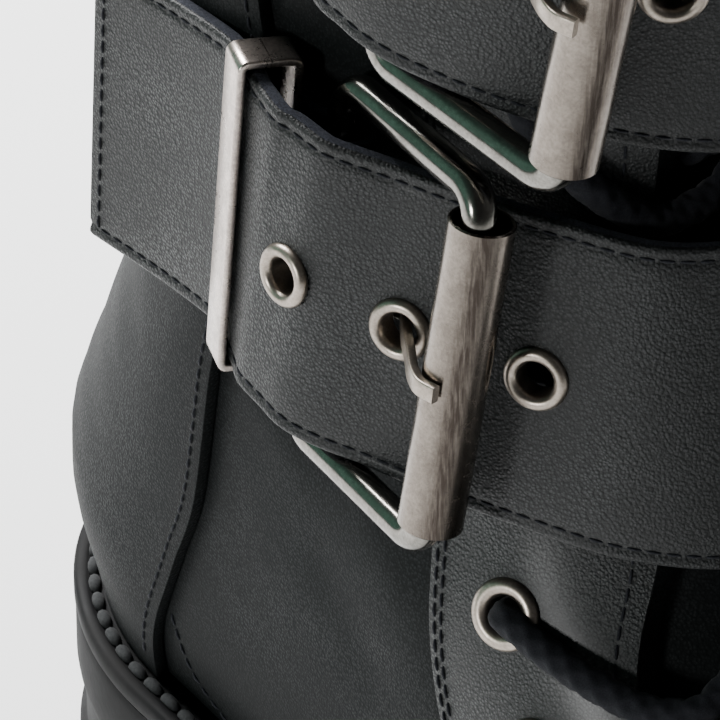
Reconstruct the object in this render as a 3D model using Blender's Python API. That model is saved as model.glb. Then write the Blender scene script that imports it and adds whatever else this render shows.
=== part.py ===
"""A right-foot military boot with a laced throat and two buckled straps across the ankle.

The frame has +X towards the toe, +Y towards the inner side of the foot and +Z up, with the sole on z = 0.
Sizes are in millimetres. x runs from the back of the heel, and h is a height above the feather line, the
edge along which the upper meets the welt. Meshes are made in metres, and the whole boot is moved at the
end so that the origin lies at the middle of its box, on the floor.
"""
import math

import bmesh
import bpy
import numpy as np
from mathutils import Matrix, Vector

MM = 0.001
GAP = 0.3                 # clearance between pieces that touch
LATERAL, MEDIAL = -1, 1   # sides of the foot, as signs of y
CLEAR = 90.0              # a distance sideways that lies outside the boot

# Upper: the last's outline and girths
WALL = 2.0                # thickness of the upper
OVERLAY = 1.2             # thickness of the counter and the eyestays
PANEL_INSET = 0.5         # how far they stop short of the upper's edges
COLLAR = 198.0            # height of the collar above the feather line
HEEL_LIFT = 40.0          # height of the feather line over the floor at the heel
TOE_ROUND = 46.0          # depth over which the forefoot rounds into its ridge
HEEL_ROUND = 38.0         # depth over which the sides round into the back
FOOT_TO_SHAFT = (30.0, 80.0)   # heights between which the foot's widths turn into the shaft's
LIFT_FADE = 110.0         # height at which the sections no longer follow the sole's curve
TUCK, TUCK_HEIGHT = 0.05, 14.0  # the upper draws in by this share where it meets the welt

FRONT, BACK = 1, 2
PROFILE = (  # h, x of the front or instep ridge, x of the back
    (0, 272, 6), (8, 275.5, 2.5), (18, 276, 0.3), (27, 272.5, 0.5), (34, 263, 3), (39, 249, 5),
    (43, 231, 7), (47, 212, 8.5), (51, 194, 10), (56, 175, 12), (62, 158, 14), (69, 144, 16),
    (78, 133.5, 18), (90, 127, 19.5), (105, 124, 20), (125, 122.5, 19), (150, 122.5, 17),
    (180, 124, 14), (210, 125.5, 10.5))
OUTER, INNER = 1, 2
PLAN = (  # x, half width of the foot on the outer side, on the inner side
    (0, 32, 32), (31, 34, 34), (62, 35.5, 34.5), (98, 38.5, 34), (135, 43, 36.5), (171, 47, 42),
    (202, 47, 45), (230, 43, 44), (258, 37, 39), (280, 29, 33))
SHAFT = (  # h, half width of the shaft on the outer side, on the inner side
    (40, 37, 35), (70, 35.5, 34.5), (100, 35, 34), (130, 36, 35), (160, 38, 37), (210, 42, 41.5))
SHAPE = (  # share of the shaft's depth from back to front, share of its half width there
    (0, 0.80), (0.2, 0.97), (0.36, 1.0), (0.55, 0.95), (0.72, 0.84), (0.9, 0.70), (1.0, 0.63))
FRONT_ROUND = (  # h, depth over which the sides round into the front
    (0, TOE_ROUND), (40, TOE_ROUND), (70, 24), (95, 16), (210, 18))
LIFT = (  # x, height of the feather line over the floor
    (0, HEEL_LIFT), (47, 39.5), (88, 35.5), (124, 29.5), (158, 25), (192, 23.5), (220, 25), (248, 28.5),
    (280, 34))

COLUMNS = 28              # facets round the upper
SHARP = 35                # degrees at which an edge is shaded sharp
LEVELS = (GAP, 9, 19, 28, 35, 41, 47, 53, 60, 70, 85, 105, 132, 165, COLLAR)

# Sole
WELT = 3.5                # thickness of the welt
WELT_OUT = 6.5            # how far the welt stands out from the upper
WELT_ROUND = 0.7          # on its edges
INSOLE, INSOLE_ROOM = 3.0, 1.5   # thickness, and room between it and the upper
SOLE_FACETS = 40
SOLE_BOTTOM = (  # x, height of the tread: flat heel, breast, arch, flat forefoot, toe spring
    (0, 0), (69, 0), (72, 0), (77, 15), (100, 14), (125, 9), (150, 2), (160, 0), (222, 0), (240, 2.5),
    (258, 7.5), (276, 15))
SOLE_SIDE = (  # share of the sole's height, how far it stands out from the upper: tread, rib, groove, edge
    (0.0, 4.6), (0.28, 6.2), (0.36, 5.2), (0.62, 5.4), (0.70, 6.3), (1.0, 6.3))
SOLE_STATIONS = (69, 72, 77, 88, 150, 160, 222)
LUG_DEPTH, LUG_SLOT, LUG_REACH = 5.0, 4.0, 26.0
HEEL_END, HEEL_LUGS = 72, 0.6   # x of the heel's breast, and the share of that reach under the heel
LUG_PLACES = (20, 37, 54, 166, 178, 190, 202, 214)   # x of the slots between the lugs

# Panels, as edges seen from the side
THROAT = (  # x, z along the edge of the throat, from the collar to the vamp, and a corner outside the boot
    (119, 270), (118.5, 200), (118, 165), (118.5, 140), (121, 122), (125.5, 107.4), (128, 98.5), (131, 93.4),
    (137, 88.5), (146, 86), (158, 84.5), (172, 83.5), (182, 82.5), (190, 83),
    (215, 270))
TONGUE_EDGE = (  # x, z along the hidden edge of the tongue, and a corner outside the boot
    (108, 270), (107.5, 200), (107, 165), (107.5, 140), (110, 120), (114.5, 104), (118, 92), (124, 82.5),
    (133, 77), (146, 74.5), (160, 73.5), (176, 72), (192, 70), (206, 72), (230, 270))
TONGUE, TONGUE_TOP = 2.5, 8.0   # thickness, and reach above the collar
TONGUE_ROOM, TONGUE_FROM = 0.75, 5   # room under the upper, and the level that it starts at
COUNTER_EDGE = (  # x, z along the front edge of the counter and back stay, and two corners behind the boot
    (64, 270), (66, 190), (68.5, 165), (69.5, 158), (68, 150), (65, 135), (61.5, 115), (59.3, 104.4),
    (57.7, 93.4), (55.1, 79.7), (50, 65.8), (44.3, 47.1), (42.5, 20), (-30, 20),
    (-30, 270))
EYESTAY_EDGE = (  # x, z along the rear edge of an eyestay, and two corners in front of the boot
    (92, 270), (92.5, 200), (92.5, 165), (94, 140), (97, 120), (102.2, 100.8), (110.6, 79.6), (121, 69),
    (136, 64.5), (152, 65.5), (168, 71), (184, 82), (200, 82), (200, 270))

# Laces
LACE_EYELETS = (  # x, z of each pair of eyelets from the lowest, height h of the instep ridge between them
    (138.5, 73.5, 62.5), (125.2, 83, 73), (115.1, 97.6, 84), (109, 115, 97), (105.5, 134, 112),
    (104.5, 172, 140), (104.5, 196, 163), (105, 222, 187))
EYELET_HOLE, EYELET_BARREL, EYELET_FLANGE = 2.4, 2.8, 4.7
EYELET_SEAT, EYELET_RISE = 0.9, 0.9   # the flange over the leather, and its roundness
LACE_R, LACE_FACETS = 1.9, 6
LACE_RISE = 0.4           # place of a crossing between its two ridge heights
LACE_SAG = 0.36           # how far a lace falls towards the next eyelet on its way to the ridge
LACE_OVER = (  # share of the way from eyelet to ridge, height of the lace over the upper
    (0.16, 4.02), (0.35, 4.5), (0.52, 4.3), (0.75, 2.4))
LACE_CROSS, LACE_STACK = 1.0, 1.3   # over the ridge, and between the two strands there
LACE_UNDER = ((0.86, 1.0), (0.76, 0.5))   # the same on the side where the lace goes under the flap
FACETS = 7                # round an eyelet
HOLE_ROOM, HOLE_DEPTH = 0.5, 12.0   # round an eyelet's barrel, and through the leather

# Straps
STRAP_WIDE, STRAP_THICK, STRAP_STEP = 42.0, 2.4, 6.5
STRAP_EYELETS = (-16.6, 0.0, 18.2)   # places of a strap's eyelets, from the one that the prong holds
STRAP_HOLE, STRAP_BARREL, STRAP_FLANGE = 2.2, 2.6, 4.0
STRAP_LOWER = (  # x, y of the outer face at mid width, lean inwards in degrees, rise, from the free end
    (40, -41.6, 3, 1.4), (56, -41, 3, 2.0), (65, -41.4, 3, 2.6), (70.5, -43, 3.5, 2.9), (76, -45.2, 4, 2.8),
    (81, -46.4, 5, 2.4), (86.5, -46.4, 6, 1.9), (99.5, -41.5, 7, 0.7), (117.5, -33.6, 8.5, 0),
    (129.5, -27.2, 10, 0), (137, -17.5, 15, 0), (140, -5, 19, 0), (140, 5, 19, 0), (137, 17.5, 15, 0),
    (129, 27.5, 9, 0), (117, 33.5, 6, 0), (105, 36.4, 4, 0), (92, 38, 3, 0), (80, 37.8, 2, 0), (71, 37.2, 1, 0))
STRAP_UPPER = (
    (56, -44.2, -3, 1.0), (70, -43.8, -3, 1.5), (79, -43.7, -3, 1.8), (84.5, -45, -3, 1.8), (90, -47, -3, 1.6),
    (95, -47.8, -3, 1.3), (100.5, -47, -3, 0.9), (112, -42, -2, 0.1), (126, -31.9, 0, 0), (133, -23.5, 1, 0),
    (137.5, -13, 2, 0), (139, -4, 2, 0), (139, 4, 2, 0), (136, 17.5, 2, 0), (129, 28, 0, 0), (117, 35, -2, 0),
    (105, 38.6, -3, 0), (92, 40.4, -4, 0), (80, 41, -4, 0), (71, 41, -4, 0))
STRAPS = {  # path, height at the roller, fall per unit of x, x at the roller
    "lower": (STRAP_LOWER, 136.0, 0.035, 110.5), "upper": (STRAP_UPPER, 194.5, 0.18, 124.5)}

# Buckles, in a strap's own directions: along it to the front, across it, and outwards from its outer face
WIRE_R = 2.3
ROLLER_R, ROLLER_BORE, ROLLER_LONG = 4.1, 3.1, 42.4
ROLLER_FACETS = 10
ROLLER_OUT = 7.5          # the roller's axis over the strap
HEEL_BAR = -28.0          # the heel bar's place along the strap, from the roller
HEEL_BAR_UNDER = 7.3      # its axis under the strap's outer face
FRAME_LOW, FRAME_HIGH, FRAME_BEND = -23.7, 25.8, 4.0   # the side bars' places across, and their bends
ROLLER_LOW = -20.4        # the roller slides down to the lower bend
BEND_POINTS = 4           # on each bend
PRONG_WIDE, PRONG_THICK = 2.2, 1.4
PRONG_EYE = (-200, 75, 10)   # angles of its eye round the heel bar, and points on it
PRONG_THROUGH = ((-1.8, -4.4), (-0.4, -1.8), (0.3, 1.4), (2.4, 4.6))   # along and outwards, from its eyelet
PRONG_OVER = ((-6.0, -3.0), (-2.5, 0.0), (0.5, 0.6))   # along, and outwards from the roller's top
SLOT_R, SLOT_WIDE = 4.8, 4.4   # the chape's slot for it, round the heel bar
CHAPE_LOW, CHAPE_HIGH, CHAPE_THICK = -18.5, 19.0, 1.4
CHAPE_TAIL, CHAPE_SEAT = 6.6, 4.9   # its reach behind the heel bar, and its middle over the upper there
CHAPE_WRAP, CHAPE_POINTS = 45, 7    # angle at which it ends over the bar, and points round the bar
KEEPER_WIDE, KEEPER_THICK, KEEPER_DEEP, KEEPER_TALL = 5.8, 1.1, 8.5, 45.8
KEEPER_OVER = 0.55         # room between it and the strap's outer face
KEEPER_PLACE = -41.0      # along, from the roller
KEEPER_TURN = 2.5         # degrees that it hangs off the strap's square
EYELET_PLACE = -10.3      # along, from the roller to the eyelet that the prong holds


def curve(table, column, at):
    """Smooth curve through a column of a table, keyed by its first column, without overshoot."""
    rows = np.array(table, float)
    key, value = rows[:, 0], rows[:, column]
    step = np.diff(key)
    slope = np.diff(value) / step
    tangent = np.concatenate((slope[:1], np.zeros(len(key) - 2), slope[-1:]))
    for i in range(1, len(key) - 1):
        if slope[i - 1] * slope[i] > 0:
            before = 2 * step[i] + step[i - 1]
            after = step[i] + 2 * step[i - 1]
            tangent[i] = (before + after) / (before / slope[i - 1] + after / slope[i])
    at = np.clip(np.asarray(at, float), key[0], key[-1])
    i = np.clip(np.searchsorted(key, at, side="right") - 1, 0, len(step) - 1)
    q = (at - key[i]) / step[i]
    return (value[i] * (1 + 2 * q) * (1 - q) ** 2 + value[i + 1] * q * q * (3 - 2 * q)
            + step[i] * (tangent[i] * q * (1 - q) ** 2 - tangent[i + 1] * q * q * (1 - q)))


def ease(q):
    """Smooth step from 0 to 1."""
    q = np.clip(q, 0, 1)
    return q * q * (3 - 2 * q)


def rounding(q):
    """Quarter circle from 0 at the ridge to 1 at its full depth."""
    return np.sqrt(1 - (1 - np.clip(q, 0, 1)) ** 2)


def depth_from(column, x, h):
    """Distance in the median plane from (x, h) to the front or the back of the profile."""
    heights = np.concatenate(([-80.0], np.linspace(0, PROFILE[-1][0], 160)))
    line = np.stack((curve(PROFILE, column, np.maximum(heights, 0)), heights), -1)
    start, run = line[:-1], np.diff(line, axis=0)
    point = np.stack(np.broadcast_arrays(x, h), -1)[..., None, :]
    share = np.clip(((point - start) * run).sum(-1) / (run * run).sum(-1), 0, 1)
    return np.sqrt((((start + share[..., None] * run) - point) ** 2).sum(-1).min(-1))


def half_width(x, h, side):
    """Half width of the upper at x and h, on one side."""
    column = OUTER if side == LATERAL else INNER
    front, back = curve(PROFILE, FRONT, h), curve(PROFILE, BACK, h)
    foot = curve(PLAN, column, x)
    shaft = curve(SHAFT, column, h) * curve(SHAPE, 1, (x - back) / (front - back))
    low, high = FOOT_TO_SHAFT
    blend = ease((h - low) / (high - low))
    tuck = 1 - TUCK * np.clip(1 - h / TUCK_HEIGHT, 0, 1) ** 2
    return ((foot * (1 - blend) + shaft * blend) * tuck
            * rounding(depth_from(FRONT, x, h) / curve(FRONT_ROUND, 1, h))
            * rounding(depth_from(BACK, x, h) / HEEL_ROUND))


def height_at(x, h):
    """Height over the floor of a point h above the feather line."""
    return h + HEEL_LIFT + (curve(LIFT, 1, x) - HEEL_LIFT) * (1 - ease(h / LIFT_FADE))


def last(u, h):
    """Point on the upper: u runs once round from the back, by the outer side, the toe and the inner side."""
    u, h = np.broadcast_arrays(np.asarray(u, float), np.asarray(h, float))
    front, back = curve(PROFILE, FRONT, h), curve(PROFILE, BACK, h)
    x = back + (front - back) * (1 - np.cos(u)) / 2
    y = np.where(np.sin(u) >= 0, -half_width(x, h, LATERAL), half_width(x, h, MEDIAL))
    return np.stack((x, y, height_at(x, h)), -1)


def offset_last(u, h, off):
    """Point at a distance from the upper's surface, outwards."""
    step_u, step_h = 0.02, 0.5
    around = last(u + step_u, h) - last(u - step_u, h)
    upwards = last(u, h + step_h) - last(u, np.maximum(h - step_h, 0))
    normal = np.cross(around, upwards)
    normal /= np.linalg.norm(normal, axis=-1, keepdims=True)
    return last(u, h) + off * normal


def turn(count):
    """Angles once round, evenly spaced."""
    return np.arange(count) * 2 * math.pi / count


def feather(u, out):
    """Outline of the foot at the feather line, moved outwards in plan."""
    step = 0.02
    along = last(u + step, 0.0) - last(u - step, 0.0)
    normal = np.stack((along[:, 1], -along[:, 0]), -1)
    normal /= np.linalg.norm(normal, axis=1, keepdims=True)
    return last(u, 0.0)[:, :2] + out * normal


def material(name, colour, roughness, metallic):
    """A plain finish for one piece."""
    finish = bpy.data.materials.new(name)
    finish.use_nodes = True
    shader = finish.node_tree.nodes["Principled BSDF"]
    shader.inputs["Base Color"].default_value = (*colour, 1)
    shader.inputs["Roughness"].default_value = roughness
    shader.inputs["Metallic"].default_value = metallic
    return finish


def new_object(name, bm, finish=None):
    """Object from a bmesh in millimetres. One with no finish is a cutter and stays out of sight."""
    bmesh.ops.recalc_face_normals(bm, faces=bm.faces[:])
    bmesh.ops.scale(bm, vec=(MM, MM, MM), verts=bm.verts[:])
    mesh = bpy.data.meshes.new(name)
    bm.to_mesh(mesh)
    bm.free()
    obj = bpy.data.objects.new(name, mesh)
    bpy.context.scene.collection.objects.link(obj)
    if finish is None:
        obj.hide_render = True
        obj.display_type = "WIRE"
    else:
        mesh.materials.append(material(name, *finish))
        mesh.shade_smooth()
        mesh.set_sharp_from_angle(angle=math.radians(SHARP))
    return obj


def boolean(obj, cutter, operation, solver="EXACT"):
    """Boolean that stays on the object."""
    cut = obj.modifiers.new(operation.title(), "BOOLEAN")
    cut.operation = operation
    cut.solver = solver
    cut.object = cutter


def skin(bm, rings):
    """Faces between rings of vertices that have the same number of points."""
    for low, high in zip(rings, rings[1:]):
        for k in range(len(low)):
            j = (k + 1) % len(low)
            bm.faces.new((low[k], low[j], high[j], high[k]))


def halves(bm, rings, inward):
    """Triangles between rings, split the same way on every surface so that offsets stay parallel."""
    for low, high in zip(rings, rings[1:]):
        for k in range(len(low)):
            j = (k + 1) % len(low)
            for corners in ((low[k], low[j], high[j]), (low[k], high[j], high[k])):
                bm.faces.new(corners[::-1] if inward else corners)


def close_ring(bm, ring):
    """Close a ring with strips between its outer and inner side."""
    count = len(ring)
    for k in range(count // 2):
        corners = (ring[k], ring[k + 1], ring[(count - k - 1) % count], ring[(count - k) % count])
        bm.faces.new(tuple(dict.fromkeys(corners)))


def add_ring(bm, points):
    """Vertices at a row of points."""
    return [bm.verts.new(p) for p in points]


def shell(name, low_off, high_off, levels, finish):
    """Open tube between two offsets of the upper's surface."""
    bm = bmesh.new()
    u = turn(COLUMNS)
    outside = [add_ring(bm, offset_last(u, float(h), high_off)) for h in levels]
    inside = [add_ring(bm, offset_last(u, float(h), low_off)) for h in levels]
    halves(bm, outside, False)
    halves(bm, inside, True)
    skin(bm, (inside[0], outside[0]))
    skin(bm, (outside[-1], inside[-1]))
    return new_object(name, bm, finish)


def side_prism(name, outline, low=-CLEAR, high=CLEAR):
    """Cutter: an outline in x and z, drawn across the boot from y low to y high."""
    bm = bmesh.new()
    face = bm.faces.new([bm.verts.new((x, low, z)) for x, z in outline])
    drawn = bmesh.ops.extrude_face_region(bm, geom=[face])
    moved = [v for v in drawn["geom"] if isinstance(v, bmesh.types.BMVert)]
    bmesh.ops.translate(bm, verts=moved, vec=(0, high - low, 0))
    return new_object(name, bm)


def plate(name, rings, finish):
    """Solid with stacked rings, closed at its lowest and highest ring."""
    bm = bmesh.new()
    loops = [add_ring(bm, ring) for ring in rings]
    skin(bm, loops)
    close_ring(bm, loops[0])
    close_ring(bm, loops[-1])
    return new_object(name, bm, finish)


def boxes(name, spans):
    """Cutter made of separate boxes, each a low and a high corner."""
    bm = bmesh.new()
    for low, high in spans:
        cube = bmesh.ops.create_cube(bm, size=1.0)["verts"]
        size = Vector(high) - Vector(low)
        bmesh.ops.scale(bm, vec=size, verts=cube)
        bmesh.ops.translate(bm, verts=cube, vec=(Vector(low) + Vector(high)) / 2)
    return new_object(name, bm)


LEATHER = ((0.030, 0.031, 0.033), 0.5, 0.0)
LINING = ((0.045, 0.042, 0.040), 0.8, 0.0)
RUBBER = ((0.016, 0.016, 0.017), 0.7, 0.0)
CORD = ((0.018, 0.019, 0.024), 0.8, 0.0)
NICKEL = ((0.40, 0.37, 0.34), 0.35, 1.0)


def sole_angles():
    """Angles round the sole, with extra stations where its tread bends."""
    front, back = PROFILE[0][FRONT], PROFILE[0][BACK]
    stations = [math.acos(1 - 2 * (x - back) / (front - back)) for x in SOLE_STATIONS]
    even = [a for a in turn(SOLE_FACETS) if 0 < a < math.pi and min(abs(a - s) for s in stations) > 0.05]
    side = sorted(even + stations)
    return np.array([0.0] + side + [math.pi] + [2 * math.pi - a for a in reversed(side)])


def ring_at(u, out, height):
    """Ring round the sole at a distance from the feather line, at a height for each point."""
    return np.column_stack((feather(u, out), height))


def make_sole():
    """Outsole with heel, arch, toe spring and lugs, the welt on it, and the insole."""
    u = sole_angles()
    x = last(u, 0.0)[:, 0]
    edge = curve(LIFT, 1, x)
    tread = curve(SOLE_BOTTOM, 1, x)
    top = edge - WELT - GAP
    rings = [ring_at(u, out, tread + (top - tread) * share) for share, out in SOLE_SIDE]
    outsole = plate("outsole", rings, RUBBER)
    slots = []
    for place in LUG_PLACES:
        low = float(curve(SOLE_BOTTOM, 1, place)) - LUG_DEPTH
        for side in (LATERAL, MEDIAL):
            reach = float(half_width(place, 0.0, side)) - LUG_REACH * (HEEL_LUGS if place < HEEL_END else 1.0)
            near, far = sorted((side * reach, side * CLEAR))
            half = LUG_SLOT / 2
            slots.append(((place - half, near, low), (place + half, far, low + 2 * LUG_DEPTH)))
    boolean(outsole, boxes("lug_slots", slots), "DIFFERENCE")
    narrow = WELT_OUT - WELT_ROUND
    plate("welt", [ring_at(u, narrow, edge - WELT), ring_at(u, WELT_OUT, edge - WELT + WELT_ROUND),
                   ring_at(u, WELT_OUT, edge - WELT_ROUND), ring_at(u, narrow, edge)], RUBBER)
    inset = -WALL - INSOLE_ROOM
    plate("insole", [ring_at(u, inset, edge + GAP), ring_at(u, inset, edge + GAP + INSOLE)], LINING)


def make_upper():
    """Upper with its throat cut out, and the tongue under it."""
    upper = shell("upper", -WALL, 0.0, LEVELS, LEATHER)
    throat = side_prism("throat_cut", THROAT)
    boolean(upper, throat, "DIFFERENCE")
    inner = -WALL - TONGUE_ROOM
    tongue = shell("tongue", inner - TONGUE, inner, LEVELS[TONGUE_FROM:] + (COLLAR + TONGUE_TOP,), LEATHER)
    boolean(tongue, side_prism("tongue_outline", TONGUE_EDGE), "INTERSECT")
    return upper, throat


def make_panels(throat):
    """Counter with its back stay, and an eyestay on each side of the throat."""
    levels = (GAP + PANEL_INSET,) + LEVELS[1:-1] + (COLLAR - PANEL_INSET,)
    counter = shell("heel_counter", GAP, GAP + OVERLAY, levels, LEATHER)
    boolean(counter, side_prism("counter_outline", COUNTER_EDGE), "INTERSECT")
    eyestays = []
    for name, low, high in (("lateral", -CLEAR, -GAP), ("medial", GAP, CLEAR)):
        eyestay = shell("eyestay_" + name, GAP, GAP + OVERLAY, levels, LEATHER)
        outline = side_prism("eyestay_outline_" + name, EYESTAY_EDGE, low, high)
        boolean(eyestay, outline, "INTERSECT")
        boolean(eyestay, throat, "DIFFERENCE")
        eyestays.append(eyestay)
    return eyestays


def axes(origin, along, out):
    """Matrix of a place on a surface: x along, y across and z outwards."""
    across = np.cross(out, along)
    matrix = Matrix.Identity(4)
    for column, vector in enumerate((along, across, out, origin)):
        for row in range(3):
            matrix[row][column] = float(vector[row])
    return matrix


def side_axes(x, z, side):
    """Matrix of a place on the upper's side, given by x and z."""
    def width(x, z):
        h = z - HEEL_LIFT
        for _ in range(30):
            h += z - float(height_at(x, h))
        return float(half_width(x, h, side))
    step = 0.2
    slope_x = (width(x + step, z) - width(x - step, z)) / (2 * step)
    slope_z = (width(x, z + step) - width(x, z - step)) / (2 * step)
    out = np.array((-slope_x, side, -slope_z))
    along = np.array((1, side * slope_x, 0))
    return axes((x, side * width(x, z), z), along / np.linalg.norm(along), out / np.linalg.norm(out))


def turned(name, profile, facets, matrix, finish):
    """Ring turned round the z axis of a place, from a closed profile of radius and z."""
    bm = bmesh.new()
    a = turn(facets)
    rings = [add_ring(bm, np.column_stack((r * np.cos(a), r * np.sin(a), 0 * a + z))) for r, z in profile]
    skin(bm, rings + rings[:1])
    bmesh.ops.transform(bm, matrix=matrix, verts=bm.verts[:])
    return new_object(name, bm, finish)


def drills(name, places, radius, depth=HOLE_DEPTH):
    """Cutter: a round drill through each place."""
    bm = bmesh.new()
    for matrix in places:
        bmesh.ops.create_cone(bm, cap_ends=True, segments=FACETS, radius1=radius, radius2=radius,
                              depth=depth, matrix=matrix)
    return new_object(name, bm)


def grommet(name, hole, barrel, flange, depth, matrix):
    """Eyelet: a barrel through the leather with a rounded flange on it."""
    low = EYELET_SEAT
    profile = ((hole, -depth), (barrel, -depth), (barrel, low), (flange, low), (hole, low + EYELET_RISE))
    return turned(name, profile, FACETS, matrix, NICKEL)


def make_lace_eyelets(upper, eyestays):
    """Pairs of eyelets along the throat, through the eyestays and the upper."""
    for side, label, eyestay in ((LATERAL, "lateral", eyestays[0]), (MEDIAL, "medial", eyestays[1])):
        top = Matrix.Translation((0, 0, GAP + OVERLAY))
        places = [side_axes(x, z, side) @ top for x, z, _ in LACE_EYELETS]
        cutter = drills("lace_holes_" + label, places, EYELET_BARREL + HOLE_ROOM)
        boolean(upper, cutter, "DIFFERENCE")
        boolean(eyestay, cutter, "DIFFERENCE")
        for number, place in enumerate(places, 1):
            grommet(f"lace_eyelet_{label}_{number}", EYELET_HOLE, EYELET_BARREL, EYELET_FLANGE,
                    WALL + OVERLAY, place)


class Band:
    """A strap's outer face: places along it, each with its directions."""

    def __init__(self, path, height, fall, roller_x):
        rows = np.array(path, float)
        points = np.column_stack((rows[:, :2], height - fall * (rows[:, 0] - roller_x) + rows[:, 3]))
        reach = np.concatenate(([0.0], np.cumsum(np.linalg.norm(np.diff(points, axis=0), axis=1))))
        self.table = np.column_stack((reach, points, rows[:, 2]))
        self.length = reach[-1]
        outer_side = np.linspace(0, self.length / 2, 400)
        self.roller = float(np.interp(roller_x, curve(self.table, 1, outer_side), outer_side))

    def point(self, s):
        return np.array([float(curve(self.table, column, s)) for column in (1, 2, 3)])

    def axes(self, s):
        along = self.point(s + 0.5) - self.point(s - 0.5)
        along /= np.linalg.norm(along)
        out = np.array((along[1], -along[0], 0.0))
        out /= np.linalg.norm(out)
        lean = math.radians(float(curve(self.table, 4, s)))
        out = out * math.cos(lean) + np.cross(out, along) * math.sin(lean)
        return axes(self.point(s), along, out)


def make_strap(label, band):
    """The strap, from its free end round the front to its sewn end, with its eyelets."""
    bm = bmesh.new()
    half = STRAP_WIDE / 2
    corners = ((half, 0), (-half, 0), (-half, -STRAP_THICK), (half, -STRAP_THICK))
    rings = []
    for s in np.linspace(0, band.length, int(band.length / STRAP_STEP)):
        place = band.axes(s)
        rings.append(add_ring(bm, [place @ Vector((0, across, out)) for across, out in corners]))
    skin(bm, rings)
    bm.faces.new(rings[0])
    bm.faces.new(rings[-1])
    strap = new_object("strap_" + label, bm, LEATHER)
    held = band.roller + EYELET_PLACE
    places = [band.axes(held + step) for step in STRAP_EYELETS]
    boolean(strap, drills("strap_holes_" + label, places, STRAP_BARREL + HOLE_ROOM), "DIFFERENCE")
    for number, place in enumerate(places, 1):
        grommet(f"strap_eyelet_{label}_{number}", STRAP_HOLE, STRAP_BARREL, STRAP_FLANGE, STRAP_THICK, place)


def thick_line(points, thickness):
    """Outline of a strip of even thickness along a line."""
    points = np.array(points, float)
    along = np.gradient(points, axis=0)
    normal = np.column_stack((-along[:, 1], along[:, 0]))
    normal *= thickness / 2 / np.linalg.norm(normal, axis=1, keepdims=True)
    return np.concatenate((points + normal, (points - normal)[::-1]))


def strip(name, points, thickness, low, high, matrix, finish):
    """Bent strip: a line along and outwards, drawn across from low to high."""
    bm = bmesh.new()
    outline = thick_line(points, thickness)
    rings = [add_ring(bm, [(a, across, b) for a, b in outline]) for across in (low, high)]
    skin(bm, rings)
    half = len(points)
    for ring in rings:
        for k in range(half - 1):
            bm.faces.new((ring[k], ring[k + 1], ring[2 * half - 2 - k], ring[2 * half - 1 - k]))
    bmesh.ops.transform(bm, matrix=matrix, verts=bm.verts[:])
    return new_object(name, bm, finish)


def hook(centre, radius, start, end, count):
    """Points on an arc, by angles in degrees."""
    return [(centre[0] + radius * math.cos(math.radians(a)), centre[1] + radius * math.sin(math.radians(a)))
            for a in np.linspace(start, end, count)]


def wire(name, points, radius, finish, cyclic):
    """Round wire along a row of points in millimetres."""
    line = bpy.data.curves.new(name, "CURVE")
    line.dimensions = "3D"
    line.bevel_depth = radius * MM
    line.bevel_resolution = 2
    line.use_fill_caps = True
    spline = line.splines.new("POLY")
    spline.points.add(len(points) - 1)
    for point, place in zip(spline.points, points):
        point.co = (*(Vector(place) * MM), 1)
    spline.use_cyclic_u = cyclic
    line.materials.append(material(name, *finish))
    obj = bpy.data.objects.new(name, line)
    bpy.context.scene.collection.objects.link(obj)
    return obj


def make_buckle(label, band):
    """Wire frame with its roller, the prong through the strap, and the chape that holds it."""
    place = band.axes(band.roller)

    def here(matrix, out=0.0, along=0.0):
        """Along and outwards, in the roller's directions, of a place."""
        point = place.inverted() @ (matrix @ Vector((along, 0, out)))
        return np.array((point.x, point.z))

    bar = here(band.axes(band.roller + HEEL_BAR), -HEEL_BAR_UNDER)
    axle = np.array((0.0, ROLLER_OUT))
    reach = np.linalg.norm(axle - bar)
    rise = (axle - bar) / reach
    corners = ((0, FRAME_LOW, 180), (reach, FRAME_LOW, 270), (reach, FRAME_HIGH, 0), (0, FRAME_HIGH, 90))
    loop = []
    for far, across, start in corners:
        middle = (abs(far - FRAME_BEND), across + (FRAME_BEND if across < 0 else -FRAME_BEND))
        for f, c in hook(middle, FRAME_BEND, start, start + 90, BEND_POINTS):
            along, out = bar + rise * f
            loop.append(place @ Vector((along, c, out)))
    wire("buckle_frame_" + label, loop, WIRE_R, NICKEL, True)

    across = place.to_3x3() @ Vector((0, 1, 0))
    along = place.to_3x3() @ Vector((1, 0, 0))
    axle_place = axes(place @ Vector((0, 0, ROLLER_OUT)), along, across)
    top = ROLLER_LOW + ROLLER_LONG
    turned("roller_" + label, ((ROLLER_BORE, ROLLER_LOW), (ROLLER_R, ROLLER_LOW), (ROLLER_R, top),
                               (ROLLER_BORE, top)), ROLLER_FACETS, axle_place, NICKEL)

    eye = WIRE_R + GAP + PRONG_THICK / 2
    tip_height = ROLLER_OUT + ROLLER_R + GAP + PRONG_THICK / 2
    held = band.axes(band.roller + EYELET_PLACE)
    line = hook(bar, eye, *PRONG_EYE)
    line += [tuple(here(held, out, along)) for along, out in PRONG_THROUGH]
    line += [(along, tip_height + out) for along, out in PRONG_OVER]
    strip("prong_" + label, line, PRONG_THICK, -PRONG_WIDE / 2, PRONG_WIDE / 2, place, NICKEL)

    eye = WIRE_R + GAP + CHAPE_THICK / 2
    middle = place @ Vector((bar[0], 0, bar[1]))
    seat = here(side_axes(middle.x - CHAPE_TAIL, middle.z, LATERAL), CHAPE_SEAT)
    back = seat - bar
    touch = math.atan2(back[1], back[0]) + math.acos(eye / np.linalg.norm(back))
    line = [tuple(seat)] + hook(bar, eye, math.degrees(touch), CHAPE_WRAP, CHAPE_POINTS)
    chape = strip("chape_" + label, line, CHAPE_THICK, CHAPE_LOW, CHAPE_HIGH, place, LEATHER)
    slot = drills("prong_slot_" + label, [axes(middle, along, across)], SLOT_R, SLOT_WIDE)
    boolean(chape, slot, "DIFFERENCE")


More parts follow.
